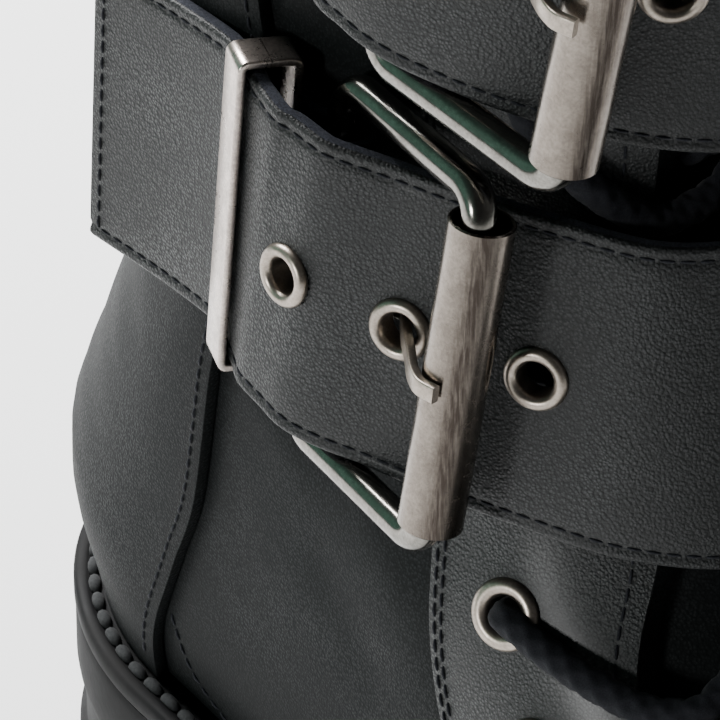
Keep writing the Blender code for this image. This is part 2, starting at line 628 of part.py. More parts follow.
def make_keeper(label, band):
    """Metal loop round the strap, behind the buckle."""
    hold = band.axes(band.roller + KEEPER_PLACE) @ Matrix.Rotation(math.radians(KEEPER_TURN), 4, "Z")
    bm = bmesh.new()
    half = KEEPER_TALL / 2 - KEEPER_THICK
    high = KEEPER_OVER
    low = high - KEEPER_DEEP + 2 * KEEPER_THICK
    rings = []
    for end, edge in ((-1, 0), (1, 0), (1, KEEPER_THICK), (-1, KEEPER_THICK)):
        a = end * KEEPER_WIDE / 2
        box = ((-half - edge, low - edge), (half + edge, low - edge), (half + edge, high + edge),
               (-half - edge, high + edge))
        rings.append(add_ring(bm, [(a, c, b) for c, b in box]))
    skin(bm, rings + rings[:1])
    bmesh.ops.transform(bm, matrix=hold, verts=bm.verts[:])
    new_object("keeper_" + label, bm, NICKEL)


def make_straps():
    """Both straps with their buckles."""
    for label, values in STRAPS.items():
        band = Band(*values)
        make_strap(label, band)
        make_buckle(label, band)
        make_keeper(label, band)


def lace_side(pair, ridge, side, line, sag=0.0):
    """Points of a lace from an eyelet towards a place on the ridge, sagging towards the next lower eyelet."""
    x, z, _ = LACE_EYELETS[pair]
    next_x, next_z, _ = LACE_EYELETS[max(pair - 1, 0)]
    points = []
    for share, over in line:
        near = 1 - (1 - share) ** 2
        fall = sag * math.sin(math.pi * share)
        place = side_axes(x + (ridge[0] - x) * near + (next_x - x) * fall,
                          z + (ridge[2] - z) * near + (next_z - z) * fall, side)
        points.append(place @ Vector((0, 0, over)))
    return points


def lace_strand(name, points, finish=None):
    """Lace along a row of points."""
    bm = bmesh.new()
    points = np.array(points, float)
    along = np.gradient(points, axis=0)
    a = turn(LACE_FACETS)
    rings = []
    for point, direction in zip(points, along):
        direction /= np.linalg.norm(direction)
        flat = np.cross(direction, (0.3, 0.0, 1.0))
        flat /= np.linalg.norm(flat)
        tall = np.cross(flat, direction)
        rings.append(add_ring(bm, point + LACE_R * (np.outer(np.cos(a), flat) + np.outer(np.sin(a), tall))))
    skin(bm, rings)
    bm.faces.new(rings[0])
    bm.faces.new(rings[-1])
    return new_object(name, bm, finish)


def make_laces():
    """The lowest bar, and the crossings above it, which go under the flaps one pair lower."""
    heights = [h for _, _, h in LACE_EYELETS]
    ridge = last(math.pi, heights[0])
    sides = [lace_side(0, ridge, side, LACE_OVER) for side in (LATERAL, MEDIAL)]
    middle = Vector(offset_last(math.pi, heights[0], LACE_CROSS))
    lace_strand("lace_bar", sides[0] + [middle] + sides[1][::-1], CORD)
    for pair in range(1, len(LACE_EYELETS)):
        height = heights[pair - 1] + LACE_RISE * (heights[pair] - heights[pair - 1])
        under = LACE_UNDER if pair > 1 else LACE_UNDER[:1]
        strands = []
        ridge = last(math.pi, height)
        for side, over in ((LATERAL, LACE_CROSS), (MEDIAL, LACE_CROSS + LACE_STACK)):
            middle = Vector(offset_last(math.pi, height, over))
            strands.append(lace_side(pair, ridge, side, LACE_OVER, LACE_SAG) + [middle]
                           + lace_side(pair - 1, ridge, -side, under))
        crossing = lace_strand(f"lace_crossing_{pair}", strands[0], CORD)
        boolean(crossing, lace_strand(f"lace_return_{pair}", strands[1]), "UNION", "MANIFOLD")


def centre_on_floor():
    """Hang everything on an empty that brings the middle of the box to the origin."""
    bpy.context.view_layer.update()
    graph = bpy.context.evaluated_depsgraph_get()
    pieces = [o for o in bpy.data.objects if o.type in {"MESH", "CURVE"}]
    points = []
    for piece in pieces:
        if not piece.hide_render:
            shape = piece.evaluated_get(graph)
            points += [piece.matrix_world @ v.co for v in shape.to_mesh().vertices]
            shape.to_mesh_clear()
    middle = [(min(p[i] for p in points) + max(p[i] for p in points)) / 2 for i in (0, 1)]
    centre = bpy.data.objects.new("boot_centre", None)
    bpy.context.scene.collection.objects.link(centre)
    centre.location = (-middle[0], -middle[1], 0)
    for piece in pieces:
        piece.parent = centre


def main():
    for obj in list(bpy.data.objects):
        bpy.data.objects.remove(obj, do_unlink=True)
    make_sole()
    upper, throat = make_upper()
    eyestays = make_panels(throat)
    make_lace_eyelets(upper, eyestays)
    make_laces()
    make_straps()
    centre_on_floor()


main()
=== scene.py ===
import math

import bpy
import numpy as np
from mathutils import Matrix, Vector


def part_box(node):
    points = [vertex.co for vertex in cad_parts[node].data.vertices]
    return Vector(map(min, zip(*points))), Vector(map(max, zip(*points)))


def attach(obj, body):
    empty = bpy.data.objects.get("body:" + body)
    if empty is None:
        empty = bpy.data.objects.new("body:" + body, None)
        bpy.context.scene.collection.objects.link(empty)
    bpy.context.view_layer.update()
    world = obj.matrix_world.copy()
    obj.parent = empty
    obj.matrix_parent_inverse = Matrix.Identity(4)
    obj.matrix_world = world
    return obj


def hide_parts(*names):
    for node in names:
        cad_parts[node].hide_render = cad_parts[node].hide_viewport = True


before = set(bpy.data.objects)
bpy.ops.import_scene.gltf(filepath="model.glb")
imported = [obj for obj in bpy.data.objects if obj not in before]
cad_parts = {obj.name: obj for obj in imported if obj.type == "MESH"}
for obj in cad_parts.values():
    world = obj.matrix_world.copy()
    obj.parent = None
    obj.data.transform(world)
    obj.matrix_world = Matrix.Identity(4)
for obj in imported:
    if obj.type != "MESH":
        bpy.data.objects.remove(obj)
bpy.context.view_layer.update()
print("frame loaded:", len(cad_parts), "nodes")

# Lengths are millimetres from the back of the heel, as on the maker's last, and become metres in the frame
mm = 0.001
weltBack, weltInner = -0.5, 49.213   # the welt's reach to the back and to the inner side
lateral, medial = -1, 1              # outer and inner side of the foot, as signs of y
weltLow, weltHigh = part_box("welt")
bootShift = np.array((weltLow.x / mm - weltBack, weltHigh.y / mm - weltInner, 0.0))

lastShape = {
    "profile": (  # height h over the feather line, x of the front or instep ridge, x of the back
        (0, 272, 6), (8, 275.5, 2.5), (18, 276, 0.3), (27, 272.5, 0.5), (34, 263, 3), (39, 249, 5),
        (43, 231, 7), (47, 212, 8.5), (51, 194, 10), (56, 175, 12), (62, 158, 14), (69, 144, 16),
        (78, 133.5, 18), (90, 127, 19.5), (105, 124, 20), (125, 122.5, 19), (150, 122.5, 17),
        (180, 124, 14), (210, 125.5, 10.5)),
    "plan": (  # x, half width of the foot on the outer side, on the inner side
        (0, 32, 32), (31, 34, 34), (62, 35.5, 34.5), (98, 38.5, 34), (135, 43, 36.5), (171, 47, 42),
        (202, 47, 45), (230, 43, 44), (258, 37, 39), (280, 29, 33)),
    "shaft": (  # h, half width of the shaft on the outer side, on the inner side
        (40, 37, 35), (70, 35.5, 34.5), (100, 35, 34), (130, 36, 35), (160, 38, 37), (210, 42, 41.5)),
    "section": (  # share of the shaft's depth from back to front, share of its half width there
        (0, 0.80), (0.2, 0.97), (0.36, 1.0), (0.55, 0.95), (0.72, 0.84), (0.9, 0.70), (1.0, 0.63)),
    "frontRound": ((0, 46), (40, 46), (70, 24), (95, 16), (210, 18)),   # h, depth of the front's rounding
    "lift": (  # x, height of the feather line over the floor
        (0, 40), (47, 39.5), (88, 35.5), (124, 29.5), (158, 25), (192, 23.5), (220, 25), (248, 28.5),
        (280, 34)),
    "heelLift": 40.0, "heelRound": 38.0, "footToShaft": (30.0, 80.0), "liftFade": 110.0,
    "tuck": 0.05, "tuckHeight": 14.0, "collar": 198.0, "wall": 2.0, "overlay": 1.2, "gap": 0.3,
}
panelEdges = {  # x, z of each edge seen from the side, from the collar downwards
    "throat": ((119, 270), (118.5, 200), (118, 165), (118.5, 140), (122, 122), (128, 107.4), (131, 98.5),
               (134, 93), (139, 88.5), (146, 86), (158, 84.5), (172, 83.5), (182, 82.5), (190, 83)),
    "tongue": ((108, 270), (107.5, 200), (107, 165), (107.5, 140), (110, 120), (114.5, 104), (118, 92),
               (124, 82.5), (133, 77), (146, 74.5), (160, 73.5), (176, 72), (192, 70), (206, 72)),
    "counter": ((64, 270), (66, 190), (68.5, 165), (69.5, 158), (68, 150), (65, 135), (61.5, 115),
                (59.3, 104.4), (57.7, 93.4), (55.1, 79.7), (50, 65.8), (44.3, 47.1), (42.5, 20)),
    "eyestay": ((92, 270), (92.5, 200), (92.5, 165), (94, 140), (97, 120), (102.2, 100.8), (110.6, 79.6),
                (121, 69), (136, 64.5), (152, 65.5), (168, 71), (184, 82)),
}


# The last's own form
def curveAt(table, column, at):   # smooth curve through a column, keyed by the first, without overshoot
    rows = np.array(table, float)
    key, value = rows[:, 0], rows[:, column]
    step = np.diff(key)
    slope = np.diff(value) / step
    tangent = np.concatenate((slope[:1], np.zeros(len(key) - 2), slope[-1:]))
    for i in range(1, len(key) - 1):
        if slope[i - 1] * slope[i] > 0:
            before = 2 * step[i] + step[i - 1]
            after = step[i] + 2 * step[i - 1]
            tangent[i] = (before + after) / (before / slope[i - 1] + after / slope[i])
    at = np.clip(np.asarray(at, float), key[0], key[-1])
    i = np.clip(np.searchsorted(key, at, side="right") - 1, 0, len(step) - 1)
    q = (at - key[i]) / step[i]
    return (value[i] * (1 + 2 * q) * (1 - q) ** 2 + value[i + 1] * q * q * (3 - 2 * q)
            + step[i] * (tangent[i] * q * (1 - q) ** 2 - tangent[i + 1] * q * q * (1 - q)))


def ease(q):
    q = np.clip(q, 0, 1)
    return q * q * (3 - 2 * q)


def profileAt(h):   # x of the front or instep ridge, x of the back
    return curveAt(lastShape["profile"], 1, h), curveAt(lastShape["profile"], 2, h)


def depthFrom(column, x, h):   # distance in the median plane to the front or the back of the profile
    below, samples, batch = -80.0, 160, 4000
    heights = np.concatenate(([below], np.linspace(0, lastShape["profile"][-1][0], samples)))
    line = np.stack((curveAt(lastShape["profile"], column, np.maximum(heights, 0)), heights), -1)
    start, run = line[:-1], np.diff(line, axis=0)
    x, h = np.broadcast_arrays(np.asarray(x, float), np.asarray(h, float))
    flat = np.stack((x.ravel(), h.ravel()), -1)
    nearest = np.empty(len(flat))
    for first in range(0, len(flat), batch):
        point = flat[first:first + batch, None, :]
        share = np.clip(((point - start) * run).sum(-1) / (run * run).sum(-1), 0, 1)
        away = start + share[..., None] * run - point
        nearest[first:first + batch] = np.sqrt((away ** 2).sum(-1).min(-1))
    return nearest.reshape(x.shape)


def halfWidth(x, h, side):
    column = 1 if side == lateral else 2
    front, back = profileAt(h)
    foot = curveAt(lastShape["plan"], column, x)
    section = curveAt(lastShape["section"], 1, (x - back) / (front - back))
    shaft = curveAt(lastShape["shaft"], column, h) * section
    low, high = lastShape["footToShaft"]
    blend = ease((h - low) / (high - low))
    tuck = 1 - lastShape["tuck"] * np.clip(1 - h / lastShape["tuckHeight"], 0, 1) ** 2
    frontShare = np.clip(depthFrom(1, x, h) / curveAt(lastShape["frontRound"], 1, h), 0, 1)
    backShare = np.clip(depthFrom(2, x, h) / lastShape["heelRound"], 0, 1)
    rounding = np.sqrt(1 - (1 - frontShare) ** 2) * np.sqrt(1 - (1 - backShare) ** 2)
    return (foot * (1 - blend) + shaft * blend) * tuck * rounding


def heightAt(x, h):
    heelLift = lastShape["heelLift"]
    fade = 1 - ease(np.asarray(h, float) / lastShape["liftFade"])
    return h + heelLift + (curveAt(lastShape["lift"], 1, x) - heelLift) * fade


def lastPoint(u, h):   # u runs round from the back, by the outer side, the toe and the inner side
    u, h = np.broadcast_arrays(np.asarray(u, float), np.asarray(h, float))
    front, back = profileAt(h)
    x = back + (front - back) * (1 - np.cos(u)) / 2
    y = np.where(np.sin(u) >= 0, -halfWidth(x, h, lateral), halfWidth(x, h, medial))
    return np.stack((x, y, heightAt(x, h)), -1)


def lastNormal(u, h):
    stepU, stepH = 0.02, 0.5
    u, h = np.broadcast_arrays(np.asarray(u, float), np.asarray(h, float))
    around = lastPoint(u + stepU, h) - lastPoint(u - stepU, h)
    upwards = lastPoint(u, h + stepH) - lastPoint(u, np.maximum(h - stepH, 0))
    normal = np.cross(around, upwards)
    return normal / np.linalg.norm(normal, axis=-1, keepdims=True)


creases = (  # side, x and z at both ends, half width, height: soft troughs and ridges of a worn boot
    (lateral, 74, 92, 100, 70, 7.0, -0.7), (lateral, 84, 104, 104, 86, 6.0, 0.5),
    (lateral, 60, 118, 84, 108, 6.0, -0.6), (lateral, 62, 106, 78, 98, 4.5, 0.4),
    (lateral, 30, 92, 52, 120, 8.0, -0.5), (medial, 74, 94, 104, 72, 7.0, -0.7),
    (medial, 62, 118, 88, 106, 6.0, -0.6), (medial, 80, 108, 104, 90, 5.0, 0.5),
    (lateral, 176, 40, 168, 66, 4.0, -0.8), (lateral, 188, 38, 182, 62, 4.0, -0.7),
    (medial, 176, 42, 168, 66, 4.0, -0.8), (medial, 188, 40, 182, 62, 4.0, -0.7),
)


def swell(points):   # how far the creases lift or sink the leather
    steep, least, fromMiddle = 3, 0.1, 2   # of a crease's ends, and its distance from the median plane
    x, y, z = points[..., 0], points[..., 1], points[..., 2]
    total = np.zeros(x.shape)
    for side, x0, z0, x1, z1, half, height in creases:
        runX, runZ = x1 - x0, z1 - z0
        length = runX * runX + runZ * runZ
        share = np.clip(((x - x0) * runX + (z - z0) * runZ) / length, 0, 1)
        away = np.hypot(x - x0 - share * runX, z - z0 - share * runZ)
        ends = ease(np.minimum(share, 1 - share) * steep + least)
        total += np.where(y * side > fromMiddle, height * ends * np.exp(-(away / half) ** 2), 0)
    return total


def leatherAt(u, h, off):   # a place over the upper's surface, with its creases
    points = lastPoint(u, h)
    rise = off + swell(points)
    return points + np.asarray(rise)[..., None] * lastNormal(u, h)


def roundAt(x, z, side):   # u and h of a place that is seen from the side
    x, z = np.broadcast_arrays(np.asarray(x, float), np.asarray(z, float))
    rounds = 30
    h = z - lastShape["heelLift"]
    for _ in range(rounds):
        h = h + z - heightAt(x, h)
    front, back = profileAt(h)
    u = np.arccos(np.clip(1 - 2 * (x - back) / (front - back), -1, 1))
    return (u if side == lateral else 2 * math.pi - u), h


def onSide(x, z, side, off):
    u, h = roundAt(x, z, side)
    return leatherAt(u, h, off)


def normalOnSide(x, z, side):
    return lastNormal(*roundAt(x, z, side))


def reachAlong(points):   # distance from the first point to each
    return np.concatenate(([0.0], np.cumsum(np.linalg.norm(np.diff(points, axis=0), axis=1))))


def smoothLine(points, step):   # smooth curve through points, read every step or so
    points = np.array(points, float)
    reach = reachAlong(points)
    at = np.linspace(0, reach[-1], max(3, int(reach[-1] / step)))
    table = np.column_stack((reach, points))
    return np.stack([curveAt(table, k + 1, at) for k in range(points.shape[1])], -1)


def besideLine(line, away):   # line in a plane, moved to its left
    along = np.gradient(line, axis=0)
    normal = np.column_stack((-along[:, 1], along[:, 0]))
    return line + away * normal / np.linalg.norm(normal, axis=1, keepdims=True)


# Pieces
def onlySelect(piece):
    bpy.ops.object.select_all(action="DESELECT")
    piece.select_set(True)
    bpy.context.view_layer.objects.active = piece


def applyModifier(piece, kind, **settings):
    onlySelect(piece)
    modifier = piece.modifiers.new(kind.title(), kind)
    for name, value in settings.items():
        setattr(modifier, name, value)
    bpy.ops.object.modifier_apply(modifier=modifier.name)


def toWorld(points):
    return (np.asarray(points, float).reshape(-1, 3) + bootShift) * mm


def meshPiece(name, points, faces, faceMaterials=None, uv=None):
    mesh = bpy.data.meshes.new(name)
    mesh.from_pydata(toWorld(points).tolist(), [], [tuple(int(k) for k in face) for face in faces])
    if uv is not None:
        layer = mesh.uv_layers.new(name="UVMap")
        loops = np.empty(len(mesh.loops), int)
        mesh.loops.foreach_get("vertex_index", loops)
        layer.data.foreach_set("uv", np.asarray(uv, np.float32)[loops].ravel())
    if faceMaterials is not None:
        mesh.polygons.foreach_set("material_index", np.asarray(faceMaterials, np.int32))
    piece = bpy.data.objects.new(name, mesh)
    bpy.context.scene.collection.objects.link(piece)
    return piece


def gridFaces(rows, columns, ringed=False, looped=False, first=0, flip=False):
    faces = []
    for r in range(rows if looped else rows - 1):
        s = (r + 1) % rows
        for c in range(columns if ringed else columns - 1):
            d = (c + 1) % columns
            face = (r * columns + c, r * columns + d, s * columns + d, s * columns + c)
            faces.append(tuple(first + k for k in (face[::-1] if flip else face)))
    return faces


def tubeFaces(rows, columns, first=0):   # rings joined to a tube that is closed at both ends
    last = first + (rows - 1) * columns
    ends = [tuple(range(first, first + columns))[::-1], tuple(range(last, last + columns))]
    return gridFaces(rows, columns, ringed=True, first=first) + ends


def cleanUp(piece):   # closes seams and turns the faces outwards
    onlySelect(piece)
    bpy.ops.object.mode_set(mode="EDIT")
    bpy.ops.mesh.select_all(action="SELECT")
    bpy.ops.mesh.remove_doubles(threshold=0.00001)
    bpy.ops.mesh.normals_make_consistent(inside=False)
    bpy.ops.object.mode_set(mode="OBJECT")


def dress(piece, finishes, replaced=(), sharp=40):
    onlySelect(piece)
    bpy.ops.object.shade_smooth_by_angle(angle=math.radians(sharp))
    for finish in finishes:
        piece.data.materials.append(finish)
    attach(piece, "root")
    if replaced:
        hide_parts(*replaced)
    return piece


def cutAway(piece, cutter):
    applyModifier(piece, "BOOLEAN", operation="DIFFERENCE", solver="EXACT", object=cutter)
    bpy.data.objects.remove(cutter, do_unlink=True)


def axesAt(origin, along, out):   # matrix with x along, y across and z outwards
    along, out = np.asarray(along, float), np.asarray(out, float)
    along = along / np.linalg.norm(along)
    across = np.cross(out, along)
    across /= np.linalg.norm(across)
    out = np.cross(along, across)
    matrix = Matrix.Identity(4)
    for column, vector in enumerate((along, across, out, origin)):
        for row in range(3):
            matrix[row][column] = float(vector[row])
    return matrix


def placed(matrix, points):
    turn = np.array(matrix)
    return np.asarray(points, float) @ turn[:3, :3].T + turn[:3, 3]


def sweep(name, matrices, section, sideMaterial=None, closed=False, capInset=0.0):
    # a closed section of across and out, drawn along a row of places
    count = len(section)
    rings = [placed(m, [(0, a, b) for a, b in section]) for m in matrices]
    if capInset:
        for end in (0, -1):
            rings[end] = rings[end] + (rings[end].mean(axis=0) - rings[end]) * capInset
    kinds = list(sideMaterial or [0] * count) * (len(rings) if closed else len(rings) - 1)
    if closed:
        faces = gridFaces(len(rings), count, ringed=True, looped=True)
    else:
        faces = tubeFaces(len(rings), count)
        kinds += [max(kinds)] * 2
    reach = reachAlong([ring.mean(axis=0) for ring in rings])
    uv = [(s * mm, a * mm) for s in reach for a, _ in section]
    piece = meshPiece(name, np.concatenate(rings), faces, kinds, uv)
    cleanUp(piece)
    return piece


def joinPieces(name, pieces):
    onlySelect(pieces[0])
    for piece in pieces[1:]:
        piece.select_set(True)
    bpy.ops.object.join()
    pieces[0].name = name
    return pieces[0]


# Finishes
def feed(tree, socket, value):   # joins another node's output to a socket, or sets a plain value there
    if isinstance(value, bpy.types.NodeSocket):
        tree.links.new(value, socket)
    else:
        socket.default_value = value


def addNode(tree, kind, settings=None, **values):
    made = tree.nodes.new(kind)
    for name, value in (settings or {}).items():
        setattr(made, name, value)
    for name, value in values.items():
        feed(tree, made.inputs[name.replace("_", " ")], value)
    return made


def mathNode(tree, operation, *values):
    made = addNode(tree, "ShaderNodeMath", {"operation": operation})
    for socket, value in zip(made.inputs, values):
        feed(tree, socket, value)
    return made.outputs[0]


def objectPlace(tree):
    return addNode(tree, "ShaderNodeTexCoord").outputs["Object"]


def noiseNode(tree, place, scale, detail, rough=0.5):
    made = addNode(tree, "ShaderNodeTexNoise", None, Vector=place, Scale=scale, Detail=detail,
                   Roughness=rough)
    return made.outputs["Fac"]


def newGroup(name, inputs, outputs):
    tree = bpy.data.node_groups.new(name, "ShaderNodeTree")
    for direction, sockets in (("INPUT", inputs), ("OUTPUT", outputs)):
        for socket in sockets:
            tree.interface.new_socket(socket, in_out=direction, socket_type="NodeSocketFloat")
    return tree, tree.nodes.new("NodeGroupInput").outputs, tree.nodes.new("NodeGroupOutput").inputs


def makeGrainGroup():   # pebbled grain with fine pores between soft swells
    tree, given, result = newGroup("leatherGrain", ("Pebble", "Pore", "Cloud"), ("Height", "Crown"))
    place = objectPlace(tree)
    warp = addNode(tree, "ShaderNodeTexNoise", None, Vector=place, Scale=700.0, Detail=2.0).outputs["Color"]
    bend = addNode(tree, "ShaderNodeVectorMath", {"operation": "SCALE"}, Vector=warp, Scale=0.0003)
    moved = addNode(tree, "ShaderNodeVectorMath", {"operation": "ADD"}, Vector=place)
    feed(tree, moved.inputs[1], bend.outputs[0])
    pebble = addNode(tree, "ShaderNodeTexVoronoi", {"feature": "SMOOTH_F1"}, Smoothness=0.2,
                     Vector=moved.outputs[0], Scale=given["Pebble"]).outputs["Distance"]
    pore = noiseNode(tree, place, given["Pore"], 3.0, 0.6)
    cloud = noiseNode(tree, place, given["Cloud"], 5.0, 0.6)
    pebbles, pores = mathNode(tree, "MULTIPLY", pebble, -1.3), mathNode(tree, "MULTIPLY", pore, 0.5)
    worn = mathNode(tree, "ADD", cloud, 0.15)
    feed(tree, result["Height"], mathNode(tree, "MULTIPLY", mathNode(tree, "ADD", pebbles, pores), worn))
    # Crown is high on the pebbles' tops and low in their crevices, plus cloudy tone; as a colour it paints
    # shade into the hollows and highlight onto the tops
    crown = mathNode(tree, "MULTIPLY_ADD", pebble, -0.9, 0.42)
    feed(tree, result["Crown"], mathNode(tree, "ADD", crown, mathNode(tree, "MULTIPLY", cloud, 0.75)))
    return tree


def makeWearGroup():   # brushed lines, rubbed patches and dark pits of old metal
    tree, given, result = newGroup("metalWear", ("Patch", "Pit", "Line"), ("Rub", "Pit", "Line"))
    place = objectPlace(tree)
    stretch = addNode(tree, "ShaderNodeMapping", None, Vector=place, Scale=(1.0, 1.0, 0.06))
    for where, size, found, detail in ((place, "Patch", "Rub", 6.0), (place, "Pit", "Pit", 3.0),
                                       (stretch.outputs["Vector"], "Line", "Line", 2.0)):
        feed(tree, result[found], noiseNode(tree, where, given[size], detail, 0.65))
    return tree


grainGroup = makeGrainGroup()
wearGroup = makeWearGroup()


def useGroup(tree, group, **values):
    return addNode(tree, "ShaderNodeGroup", {"node_tree": group}, **values).outputs


def ramp(tree, source, *stops):   # colours or greys along a value
    made = addNode(tree, "ShaderNodeValToRGB", None, Fac=source)
    elements = made.color_ramp.elements
    while len(elements) < len(stops):
        elements.new(0.5)
    for element, (place, colour) in zip(elements, stops):
        element.position = place
        element.color = (*colour, 1) if isinstance(colour, tuple) else (colour, colour, colour, 1)
    return made.outputs["Color"]


def newFinish(name, **values):
    finish = bpy.data.materials.new(name)
    finish.use_nodes = True
    shader = finish.node_tree.nodes["Principled BSDF"].inputs
    for socket, value in values.items():
        shader[socket.replace("_", " ")].default_value = value
    return finish, finish.node_tree, shader


def addBump(tree, shader, height, strength, depth):
    bump = addNode(tree, "ShaderNodeBump", None, Strength=strength, Distance=depth * mm, Height=height)
    feed(tree, shader["Normal"], bump.outputs["Normal"])


def makeLeather(name, dark, light, rough, gloss, coat, depth):
    finish, tree, shader = newFinish(name, Specular_IOR_Level=gloss, Coat_Weight=coat, Coat_Roughness=0.25)
    grain = useGroup(tree, grainGroup, Pebble=2300.0, Pore=6000.0, Cloud=70.0)
    # base colour from Crown: painted shade in the crevices and painted highlight on the pebbles' crowns, over
    # cloudy tone that the leather has
    feed(tree, shader["Base Color"], ramp(tree, grain["Crown"], (0.3, dark), (0.75, light)))
    feed(tree, shader["Roughness"], ramp(tree, grain["Crown"], (0.3, rough[1]), (0.75, rough[0])))
    addBump(tree, shader, grain["Height"], 1.0, depth)
    return finish


def makeFuzzy(name, dark, light, scale, strength, depth):   # raw cut edges, linings and threads
    finish, tree, shader = newFinish(name, Roughness=0.9, Specular_IOR_Level=0.2, Sheen_Weight=0.04)
    fibre = noiseNode(tree, objectPlace(tree), scale, 5.0, 0.7)
    feed(tree, shader["Base Color"], ramp(tree, fibre, (0.35, dark), (0.65, light)))
    addBump(tree, shader, fibre, strength, depth)
    return finish


def makeRubber(name, dark, light, rough):
    finish, tree, shader = newFinish(name, Specular_IOR_Level=0.1)
    place = objectPlace(tree)
    speck = noiseNode(tree, place, 900.0, 4.0)
    scuff = noiseNode(tree, place, 45.0, 6.0, 0.65)
    feed(tree, shader["Base Color"], ramp(tree, scuff, (0.4, dark), (0.75, light)))
    feed(tree, shader["Roughness"], ramp(tree, scuff, (0.3, rough[0]), (0.7, rough[1])))
    addBump(tree, shader, speck, 0.3, 0.15)
    return finish


def makeNickel(name, dark, light, rough, lines):   # darker where a mesh carries the streak attribute, a painted dark reflection
    # colour of the painted dark reflection laid down the roller
    paintedReflectionColour = (0.05, 0.04, 0.034, 1)
    finish, tree, shader = newFinish(name, Metallic=1.0)
    wear = useGroup(tree, wearGroup, Patch=480.0, Pit=2600.0, Line=lines)
    worn = mathNode(tree, "MULTIPLY", wear["Rub"], wear["Pit"])
    streak = addNode(tree, "ShaderNodeAttribute", {"attribute_name": "paintedReflection"}).outputs["Fac"]
    blend = addNode(tree, "ShaderNodeMix", {"data_type": "RGBA"})
    feed(tree, blend.inputs[0], mathNode(tree, "MULTIPLY", streak, wear["Line"]))
    feed(tree, blend.inputs[6], ramp(tree, worn, (0.10, dark), (0.38, light)))
    feed(tree, blend.inputs[7], paintedReflectionColour)
    feed(tree, shader["Base Color"], blend.outputs[2])
    feed(tree, shader["Roughness"], ramp(tree, wear["Rub"], (0.3, rough[1]), (0.7, rough[0])))
    addBump(tree, shader, mathNode(tree, "ADD", wear["Pit"], wear["Line"]), 0.12, 0.05)
    return finish


upperLeather = makeLeather(
    "upperLeather", (0.006, 0.0068, 0.0069), (0.013, 0.0146, 0.0148), (0.50, 0.64), 0.06, 0.02, 0.08)
facingLeather = makeLeather(
    "facingLeather", (0.003, 0.0035, 0.0036), (0.016, 0.0183, 0.0187), (0.32, 0.60), 0.46, 0.20, 0.24)
strapLeather = makeLeather(
    "strapLeather", (0.003, 0.0036, 0.0037), (0.014, 0.016, 0.0164), (0.34, 0.60), 0.36, 0.06, 0.20)
rawEdge = makeFuzzy("rawEdge", (0.012, 0.0135, 0.020), (0.052, 0.055, 0.072), 2600.0, 0.9, 0.3)
lining = makeFuzzy("lining", (0.022, 0.021, 0.020), (0.042, 0.040, 0.038), 1500.0, 0.5, 0.2)
sewingThread = makeFuzzy("sewingThread", (0.004, 0.0045, 0.0065), (0.018, 0.019, 0.024), 4000.0, 0.5, 0.1)
weltThread = makeFuzzy("weltThread", (0.020, 0.021, 0.022), (0.038, 0.039, 0.040), 1800.0, 0.5, 0.15)
laceCord = makeFuzzy("laceCord", (0.004, 0.004, 0.006), (0.016, 0.017, 0.021), 5200.0, 0.5, 0.12)
soleRubber = makeRubber("soleRubber", (0.006, 0.006, 0.0065), (0.015, 0.0148, 0.0145), (0.55, 0.78))
rollerNickel = makeNickel("rollerNickel", (0.15, 0.128, 0.110), (0.24, 0.211, 0.182), (0.20, 0.30), 2600.0)
frameNickel = makeNickel("frameNickel", (0.12, 0.114, 0.102), (0.25, 0.237, 0.215), (0.13, 0.22), 1800.0)
keeperNickel = makeNickel("keeperNickel", (0.30, 0.26, 0.24), (0.58, 0.51, 0.46), (0.24, 0.36), 4200.0)
eyeletNickel = makeNickel("eyeletNickel", (0.24, 0.207, 0.177), (0.40, 0.35, 0.30), (0.30, 0.42), 1800.0)
print("finishes made")

# Upper and its panels
upperPiece = {"columns": 240, "rows": 100, "toeFrom": 205.0, "throatTop": (215, 270), "holeRoom": 2.6,
              "holeDeep": 12.0}
laceEyelets = (  # x, z of each pair from the lowest, height h of the ridge between them
    (138.5, 73.5, 62.5), (125.2, 83, 73), (115.1, 97.6, 84), (109, 115, 97), (105.5, 134, 112),
    (104.5, 172, 140), (104.5, 196, 163), (105, 222, 187))
overlayTop = lastShape["gap"] + lastShape["overlay"]


def eyeletPlaces(side):
    found = []
    for x, z, _ in laceEyelets:
        u, h = roundAt(x, z, side)
        out = lastNormal(u, h)
        ahead = leatherAt(u + side * -0.02, h, 0.0) - leatherAt(u, h, 0.0)
        found.append(axesAt(leatherAt(u, h, overlayTop), ahead, out))
    return found


eyeletSeats = {side: eyeletPlaces(side) for side in (lateral, medial)}


def holeCutter(name, matrices, radius, deep):
    a = np.linspace(0, 2 * math.pi, 24, endpoint=False)
    ends = [np.column_stack((radius * np.cos(a), radius * np.sin(a), 0 * a + z))
            for z in (-deep / 2, deep / 2)]
    points = [placed(matrix, np.concatenate(ends)) for matrix in matrices]
    faces = [face for number in range(len(points)) for face in tubeFaces(2, len(a), number * 2 * len(a))]
    return meshPiece(name, np.concatenate(points), faces)


def laceHoles(side):
    return holeCutter("holeCutter", eyeletSeats[side], upperPiece["holeRoom"], upperPiece["holeDeep"])


def sideCutter(name, outline, reach=90.0):
    points = [(x, y, z) for y in (-reach, reach) for x, z in outline]
    cutter = meshPiece(name, points, tubeFaces(2, len(outline)))
    cleanUp(cutter)
    return cutter


